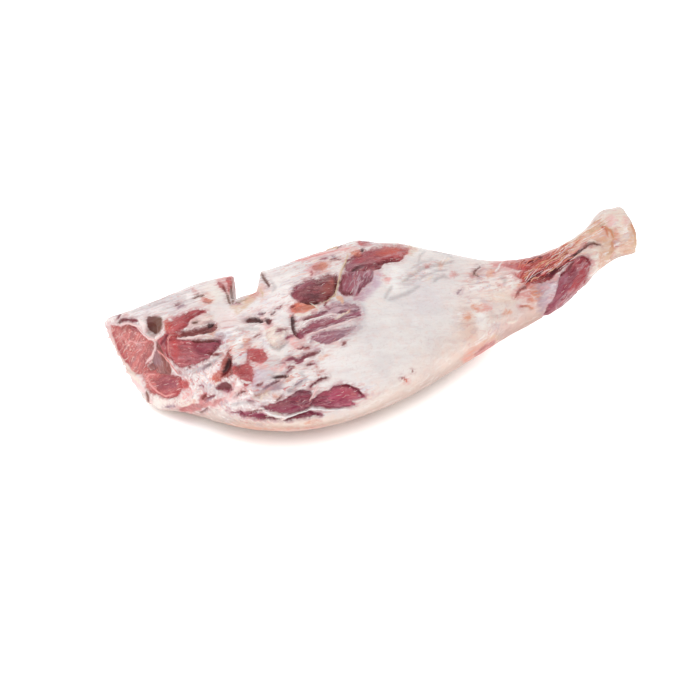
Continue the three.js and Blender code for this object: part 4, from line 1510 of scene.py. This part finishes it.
# Round muscles, torn flesh and gaps the fat is stained; the colour in the creases is painted shade, and
# linear.
skinTones = {"haloWhite": (0.8, 0.52, 0.53, 1), "creaseShade": (0.36, 0.3, 0.31, 1)}
skinSurface = {
    "Specular IOR Level": 0.25,
    "Subsurface Weight": 0.08,
    "Subsurface Radius": (1.0, 0.4, 0.3),
    "Subsurface Scale": 0.003,
    "Coat Weight": legValues["sheen"],
    "Coat Roughness": 0.14,
}


def layerMasks(tree, place):
    masks = {}
    for name, (wobble, softness, strength) in layerEdges.items():
        edge = useGroup(tree, tornEdge, {
            "Distance": attribute(tree, name), "Position": place, "Wobble": wobble, "Softness": softness,
        })["Mask"]
        masks[name] = times(tree, edge, strength)
    return masks


def addHalos(tree, place, colour):
    for name in ("muscle", "raw", "gap"):
        thin = times(tree, ramp(tree, attribute(tree, name), -5.5, 0.6), 0.75)
        halo = mixColours(tree, 0.5, tintOf(tree, name), skinTones["haloWhite"])
        patchy = ramp(tree, stretchedNoise(tree, place, (150.0, 420.0, 420.0), 4.0, 0.55), 0.38, 0.6)
        colour = mixColours(tree, times(tree, thin, patchy), colour, halo)
    return colour


def makeSkinMaterial():
    material, tree, surface = newMaterial("legSkin")
    place = addNode(tree, "ShaderNodeTexCoord").outputs["Object"]
    masks = layerMasks(tree, place)
    cover = useGroup(tree, fatLook, {
        "Tint": tintOf(tree, "cover"), "Position": place, "Torn": attribute(tree, "rough"),
    })
    # the grain attribute carries the share of fat as its third number
    grain = attribute(tree, "grain", "Vector")
    fatShare = addNode(tree, "ShaderNodeSeparateXYZ", {0: grain}).outputs["Z"]
    flesh = useGroup(tree, muscleLook, {
        "Tint": tintOf(tree, "muscle"), "Grain": grain, "Position": place, "Marbling": fatShare,
        "Film": attribute(tree, "film"),
    })
    torn = useGroup(tree, muscleLook, {
        "Tint": tintOf(tree, "raw"), "Grain": scaled(tree, place, (500.0, 700.0, 600.0)),
        "Position": place, "Contrast": 0.6, "Marbling": 0.5,
    })
    sinew = useGroup(tree, fatLook, {"Tint": tintOf(tree, "sinew"), "Position": place, "Mottle": 0.2})
    cord = useGroup(tree, fatLook, {
        "Tint": tintOf(tree, "tendon"), "Position": place, "Mottle": 0.8, "Torn": 0.45,
    })
    veined = stretchedNoise(tree, place, (90.0, 300.0, 260.0), 4.0, 0.6, 1.2)
    streaks = stretchedNoise(tree, place, (110.0, 340.0, 300.0), 4.0, 0.6, 1.5)
    sheer = times(tree, masks["veil"], ramp(tree, veined, 0.36, 0.6, 0.45, 1.0))
    soaked = times(tree, masks["stain"], ramp(tree, streaks, 0.34, 0.62, 0.3, 1.0))
    bare = calc(tree, "MAXIMUM", masks["muscle"], masks["raw"])
    shaded = times(tree, times(tree, masks["shade"], bare), ramp(tree, veined, 0.36, 0.6, 0.5, 1.0))
    colour = mixColours(tree, sheer, cover["Color"], tintOf(tree, "veil"))
    colour = mixColours(tree, masks["tendon"], colour, cord["Color"])
    colour = mixColours(tree, soaked, colour, tintOf(tree, "stain"))
    colour = addHalos(tree, place, colour)
    colour = mixColours(tree, masks["muscle"], colour, flesh["Color"])
    colour = mixColours(tree, masks["raw"], colour, torn["Color"])
    colour = mixColours(tree, shaded, colour, tintOf(tree, "shade"))
    colour = mixColours(tree, masks["sinew"], colour, sinew["Color"])
    # painted shade in the holes and slits, over dark flesh
    colour = mixColours(tree, masks["gap"], colour, tintOf(tree, "gap"))
    # painted shade in the creases of the membrane
    colour = mixColours(tree, masks["creaseShade"], colour, skinTones["creaseShade"])
    height = mixValues(tree, bare, cover["Height"], flesh["Height"])
    bump = addNode(tree, "ShaderNodeBump", {"Height": height, "Strength": 0.6, "Distance": 0.0014})
    tree.links.new(colour, surface.inputs["Base Color"])
    tree.links.new(mixValues(tree, bare, 0.46, 0.34), surface.inputs["Roughness"])
    tree.links.new(bump.outputs["Normal"], surface.inputs["Normal"])
    setSurface(surface, skinSurface)
    return material


skinMesh = makeSkin()
print("skin remeshed", len(skinMesh.vertices))
refineSeenSide(skinMesh)
sculptSkin(skinMesh)
leg = linkObject("legSkin", skinMesh)
for polygon in skinMesh.polygons:
    polygon.use_smooth = True
skinMesh.materials.clear()
skinMesh.materials.append(makeSkinMaterial())
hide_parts("leg")
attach(leg, "root")


# Strands that lie on the skin: lengths in metres, steps and bends in photo pixels, turns in degrees.
strandValues = {
    "stepPixels": 1.2,
    "pixelMetres": 0.00082,
    "sinkShare": 0.35,
    "longestJump": 0.006,
    "thickness": 1.0,
    "sides": 7,
    "resampleLength": 0.0011,
    "wobbleScale": 260.0,
    "seed": 11,
}
sinewValues = {"widest": 3, "radiusShare": 0.32, "wobble": 0.0009}
tornValues = {
    "count": 90,
    "start": (519, 277),
    "run": (46, -19),
    "across": 3,
    "down": (-9, 10),
    "narrowing": 0.4,
    "turn": -38,
    "turnSpread": 14,
    "length": (8, 26),
    "bend": 2,
    "radius": (0.00018, 0.00055),
    "arch": 0.0008,
    "wobble": 0.0006,
    "tints": ["rust", "tendon", "coral", "palePink", "salmon", "pink", "cherry", "pink", "salmon"],
}
heelValues = {
    "count": 46,
    "start": (545, 259),
    "run": (44, -29),
    "side": 7,
    "turn": -34,
    "sideTurn": 10,
    "turnSpread": 7,
    "length": (10, 30),
    "bend": 1,
    "radius": (0.0002, 0.0006),
    "wobble": 0.0006,
    "tints": ["tendon", "tan", "paleOrange", "cream", "white", "pink", "tendon"],
}
threadValues = {
    "perArea": 0.04,
    "leastMarbling": 0.3,
    "turnSpread": 16,
    "length": (2.5, 7),
    "bend": 0.8,
    "radius": (0.0001, 0.00024),
    "wobble": 0.0006,
    "tints": ["palePink", "pink", "cream", "salmon"],
}
skinTree = treeOf(skinMesh)


def surfaceAt(x, y):
    spot, normal, _, _ = skinTree.ray_cast(Vector(viewEye), pixelRay(x, y))
    return spot, normal


def denseLine(points):
    made = []
    for (x0, y0), (x1, y1) in zip(points, points[1:]):
        parts = max(1, round(math.hypot(x1 - x0, y1 - y0) / strandValues["stepPixels"]))
        made += [(x0 + (x1 - x0) * k / parts, y0 + (y1 - y0) * k / parts) for k in range(parts)]
    return made + [points[-1]]


def layLine(points, radius, arch=0.0):
    path = []
    line = denseLine(points)
    for k, (x, y) in enumerate(line):
        spot, normal = surfaceAt(x, y)
        if spot is None or (path and (spot - path[-1][0]).length > strandValues["longestJump"]):
            break
        t = k / max(len(line) - 1, 1)
        high = arch * math.sin(math.pi * t) - strandValues["sinkShare"] * radius
        taper = math.sqrt(max(0.06, 1 - (2 * t - 1) ** 4))
        path.append((spot + normal * high, radius * taper))
    return path


def strandMesh(name, strands):
    points = []
    edges = []
    radii = []
    colours = []
    for path, tint in strands:
        if len(path) < 3:
            continue
        first = len(points)
        for spot, radius in path:
            points.append(spot)
            radii.append(radius)
            colours.append([*linear(tint), 1])
        edges += [(first + k, first + k + 1) for k in range(len(path) - 1)]
    mesh = bpy.data.meshes.new(name)
    mesh.from_pydata(points, edges, [])
    saveAttribute(mesh, "strandRadius", "FLOAT", np.array(radii))
    saveAttribute(mesh, "strandTint", "FLOAT_COLOR", np.array(colours))
    return mesh


def makeStrandGroup():
    tree = bpy.data.node_groups.new("strandTubes", "GeometryNodeTree")
    tree.interface.new_socket(name="Geometry", in_out="INPUT", socket_type="NodeSocketGeometry")
    for label, kind, value in [
        ("Thickness", "Float", 1.0), ("Wobble", "Float", 0.0005), ("Wobble Scale", "Float", 200.0),
        ("Seed", "Float", 0.0), ("Sides", "Int", 7), ("Length", "Float", 0.001),
    ]:
        socket = tree.interface.new_socket(name=label, in_out="INPUT", socket_type="NodeSocket" + kind)
        socket.default_value = value
    tree.interface.new_socket(name="Material", in_out="INPUT", socket_type="NodeSocketMaterial")
    tree.interface.new_socket(name="Geometry", in_out="OUTPUT", socket_type="NodeSocketGeometry")
    given = tree.nodes.new("NodeGroupInput").outputs
    result = tree.nodes.new("NodeGroupOutput")
    curve = addNode(tree, "GeometryNodeMeshToCurve", {"Mesh": given["Geometry"]}).outputs[0]
    even = addNode(tree, "GeometryNodeResampleCurve", {
        "Curve": curve, "Length": given["Length"],
    }, mode="LENGTH").outputs[0]
    place = addNode(tree, "GeometryNodeInputPosition").outputs[0]
    cloud = addNode(tree, "ShaderNodeTexNoise", {
        "Vector": place, "W": given["Seed"], "Scale": given["Wobble Scale"], "Detail": 2.0,
    }, noise_dimensions="4D").outputs["Color"]
    centred = addNode(tree, "ShaderNodeVectorMath", {
        0: cloud, 1: (0.5, 0.5, 0.5),
    }, operation="SUBTRACT").outputs[0]
    push = addNode(tree, "ShaderNodeVectorMath", {
        0: centred, "Scale": given["Wobble"],
    }, operation="SCALE").outputs[0]
    bent = addNode(tree, "GeometryNodeSetPosition", {"Geometry": even, "Offset": push}).outputs[0]
    radius = addNode(tree, "GeometryNodeInputNamedAttribute", {"Name": "strandRadius"}).outputs["Attribute"]
    size = calc(tree, "MULTIPLY", radius, given["Thickness"])
    ring = addNode(tree, "GeometryNodeCurvePrimitiveCircle", {"Resolution": given["Sides"], "Radius": 1.0})
    tube = addNode(tree, "GeometryNodeCurveToMesh", {
        "Curve": bent, "Profile Curve": ring.outputs[0], "Scale": size, "Fill Caps": True,
    }).outputs[0]
    smooth = addNode(tree, "GeometryNodeSetShadeSmooth", {0: tube}).outputs[0]
    solid = addNode(tree, "GeometryNodeRealizeInstances", {0: smooth}).outputs[0]
    painted = addNode(tree, "GeometryNodeSetMaterial", {0: solid, "Material": given["Material"]}).outputs[0]
    tree.links.new(painted, result.inputs[0])
    return tree


def setInputs(modifier, values):
    for item in modifier.node_group.interface.items_tree:
        if item.in_out == "INPUT" and item.name in values:
            modifier[item.identifier] = values[item.name]


def makeStrandMaterial(name, roughness, coat):
    material, tree, surface = newMaterial(name)
    place = addNode(tree, "ShaderNodeTexCoord").outputs["Object"]
    look = useGroup(tree, fatLook, {"Tint": tintOf(tree, "strand"), "Position": place, "Mottle": 0.8})
    bump = addNode(tree, "ShaderNodeBump", {"Height": look["Height"], "Strength": 0.3, "Distance": 0.0006})
    tree.links.new(look["Color"], surface.inputs["Base Color"])
    tree.links.new(bump.outputs["Normal"], surface.inputs["Normal"])
    setSurface(surface, {
        "Roughness": roughness, "Specular IOR Level": 0.25, "Coat Weight": coat, "Coat Roughness": 0.25,
        "Subsurface Weight": 0.15, "Subsurface Radius": (1.0, 0.4, 0.3), "Subsurface Scale": 0.002,
    })
    return material


strandTubes = makeStrandGroup()


def addStrands(name, strands, material, wobble):
    guide = linkObject(name + "Guide", strandMesh(name, strands))
    modifier = guide.modifiers.new("tubes", "NODES")
    modifier.node_group = strandTubes
    setInputs(modifier, {
        "Thickness": strandValues["thickness"],
        "Wobble": wobble,
        "Wobble Scale": strandValues["wobbleScale"],
        "Seed": float(strandValues["seed"]),
        "Sides": strandValues["sides"],
        "Length": strandValues["resampleLength"],
        "Material": material,
    })
    made = linkObject(name, plainCopy(guide, name))
    bpy.data.objects.remove(guide)
    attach(made, "root")
    print(name, len(made.data.polygons), "faces")


draw = random.Random(strandValues["seed"])


def around(value):
    return draw.uniform(-value, value)


def bentStrand(x, y, turn, length, bendX, bendY):
    dx = length * math.cos(math.radians(turn))
    dy = length * math.sin(math.radians(turn))
    return [(x, y), (x + dx / 2 + bendX, y + dy / 2 + bendY), (x + dx, y + dy)]


def sinewPaths():
    made = []
    for name, sinew in sinews.items():
        if sinew["width"] > sinewValues["widest"] or "Nick" in name:
            continue
        radius = sinewValues["radiusShare"] * sinew["width"] * strandValues["pixelMetres"]
        made.append((layLine(sinew["line"], radius), tints[sinew["tint"][0]]))
    return made


def tornPaths():
    made = []
    for _ in range(tornValues["count"]):
        t = draw.random()
        x = tornValues["start"][0] + tornValues["run"][0] * t + around(tornValues["across"])
        y = tornValues["start"][1] + tornValues["run"][1] * t
        y += draw.uniform(*tornValues["down"]) * (1 - tornValues["narrowing"] * t)
        turn = tornValues["turn"] + around(tornValues["turnSpread"])
        length = draw.uniform(*tornValues["length"])
        bend = around(tornValues["bend"])
        radius = draw.uniform(*tornValues["radius"])
        points = bentStrand(x, y, turn, length, bend, bend)
        path = layLine(points, radius, draw.uniform(0, tornValues["arch"]))
        made.append((path, tints[draw.choice(tornValues["tints"])]))
    return made


def heelPaths():
    made = []
    for _ in range(heelValues["count"]):
        t = draw.random()
        side = around(1)
        x = heelValues["start"][0] + heelValues["run"][0] * t
        y = heelValues["start"][1] + heelValues["run"][1] * t + heelValues["side"] * side
        length = draw.uniform(*heelValues["length"])
        turn = heelValues["turn"] + heelValues["sideTurn"] * side + around(heelValues["turnSpread"])
        points = bentStrand(x, y, turn, length, 0, around(heelValues["bend"]))
        radius = draw.uniform(*heelValues["radius"])
        made.append((layLine(points, radius), tints[draw.choice(heelValues["tints"])]))
    return made


def threadPaths():
    made = []
    for muscle in muscles.values():
        ring = roundedOutline(muscle["outline"])
        low = ring.min(0)
        high = ring.max(0)
        span = high - low
        marbling = muscle.get("marbling", threadValues["leastMarbling"])
        for _ in range(round(threadValues["perArea"] * marbling * span[0] * span[1])):
            x = draw.uniform(low[0], high[0])
            y = draw.uniform(low[1], high[1])
            turn = muscle["grain"] + draw.gauss(0, threadValues["turnSpread"])
            length = draw.uniform(*threadValues["length"])
            if not insideOutline(ring, np.array([x]), np.array([y]))[0]:
                continue
            bendX = around(threadValues["bend"])
            points = bentStrand(x, y, turn, length, bendX, around(threadValues["bend"]))
            radius = draw.uniform(*threadValues["radius"])
            made.append((layLine(points, radius), tints[draw.choice(threadValues["tints"])]))
    return made


sinewLook = makeStrandMaterial("sinew", 0.42, 0.2)
tornLook = makeStrandMaterial("tornFibre", 0.35, 0.3)
heelLook = makeStrandMaterial("heelTendon", 0.4, 0.2)
threadLook = makeStrandMaterial("looseThread", 0.45, 0.15)
addStrands("sinewStrands", sinewPaths(), sinewLook, sinewValues["wobble"])
addStrands("tornFibres", tornPaths(), tornLook, tornValues["wobble"])
addStrands("heelTendons", heelPaths(), heelLook, heelValues["wobble"])
addStrands("looseThreads", threadPaths(), threadLook, threadValues["wobble"])


# Table, light and camera: metres and watts. The floor glows except close under the leg, which keeps
# it pale and the shadow narrow, as in the photo.
stageValues = {
    "floorSize": 6.0,
    "floorDrop": 0.0004,
    "floorShade": 0.9,
    "floorGlow": 0.6,
    "glowReach": 0.02,
    "skyStrength": 0.72,
    "lightAim": (0, 0, 0.03),
    "topPlace": (-0.3, 0.3, 1.2),
    "topSize": (1.3, 0.9),
    "topPower": 5.2,
    "sidePlace": (-1.1, -0.7, 0.8),
    "sideSize": (0.9, 0.7),
    "sidePower": 2.0,
}


def makeFloor():
    place = (0, 0, -stageValues["floorDrop"])
    bpy.ops.mesh.primitive_plane_add(size=stageValues["floorSize"], location=place)
    floor = bpy.context.object
    floor.name = "paleFloor"
    material, tree, surface = newMaterial("paleFloor")
    place = addNode(tree, "ShaderNodeTexCoord").outputs["Object"]
    shade = stageValues["floorShade"]
    cooler = (shade, shade, shade, 1)
    warmer = (shade, shade * 0.995, shade * 0.99, 1)
    soft = mixColours(tree, noiseTexture(tree, place, 3.0), cooler, warmer)
    tree.links.new(soft, surface.inputs["Base Color"])
    openness = addNode(tree, "ShaderNodeAmbientOcclusion", {
        "Distance": stageValues["glowReach"],
    }, samples=8)
    glow = ramp(tree, openness.outputs["AO"], 0.15, 0.7, 0.0, stageValues["floorGlow"])
    tree.links.new(glow, surface.inputs["Emission Strength"])
    setSurface(surface, {"Emission Color": (1, 1, 1, 1), "Roughness": 0.7})
    floor.data.materials.append(material)


def makeSky():
    world = bpy.data.worlds.new("studio")
    bpy.context.scene.world = world
    world.use_nodes = True
    background = world.node_tree.nodes["Background"]
    background.inputs["Color"].default_value = (1, 1, 1, 1)
    background.inputs["Strength"].default_value = stageValues["skyStrength"]


def addSoftLight(name, key):
    light = bpy.data.lights.new(name, "AREA")
    light.shape = "RECTANGLE"
    light.size, light.size_y = stageValues[key + "Size"]
    light.energy = stageValues[key + "Power"]
    made = linkObject(name, light)
    place = Vector(stageValues[key + "Place"])
    made.location = place
    made.rotation_euler = (Vector(stageValues["lightAim"]) - place).to_track_quat("-Z", "Y").to_euler()


def addCamera():
    camera = linkObject("photoCamera", bpy.data.cameras.new("photoCamera"))
    camera.location = Vector(viewEye)
    camera.rotation_euler = Vector(-toCamera).to_track_quat("-Z", "Y").to_euler()
    camera.data.lens = photoView["lens"]
    camera.data.sensor_width = photoView["sensor"]
    camera.data.shift_x = -photoView["right"] / photoView["pixels"]
    camera.data.shift_y = -photoView["up"] / photoView["pixels"]
    bpy.context.scene.camera = camera


makeFloor()
makeSky()
addSoftLight("topSoft", "top")
addSoftLight("sideSoft", "side")
addCamera()
bpy.context.scene.view_settings.view_transform = "Standard"
print("stage set")
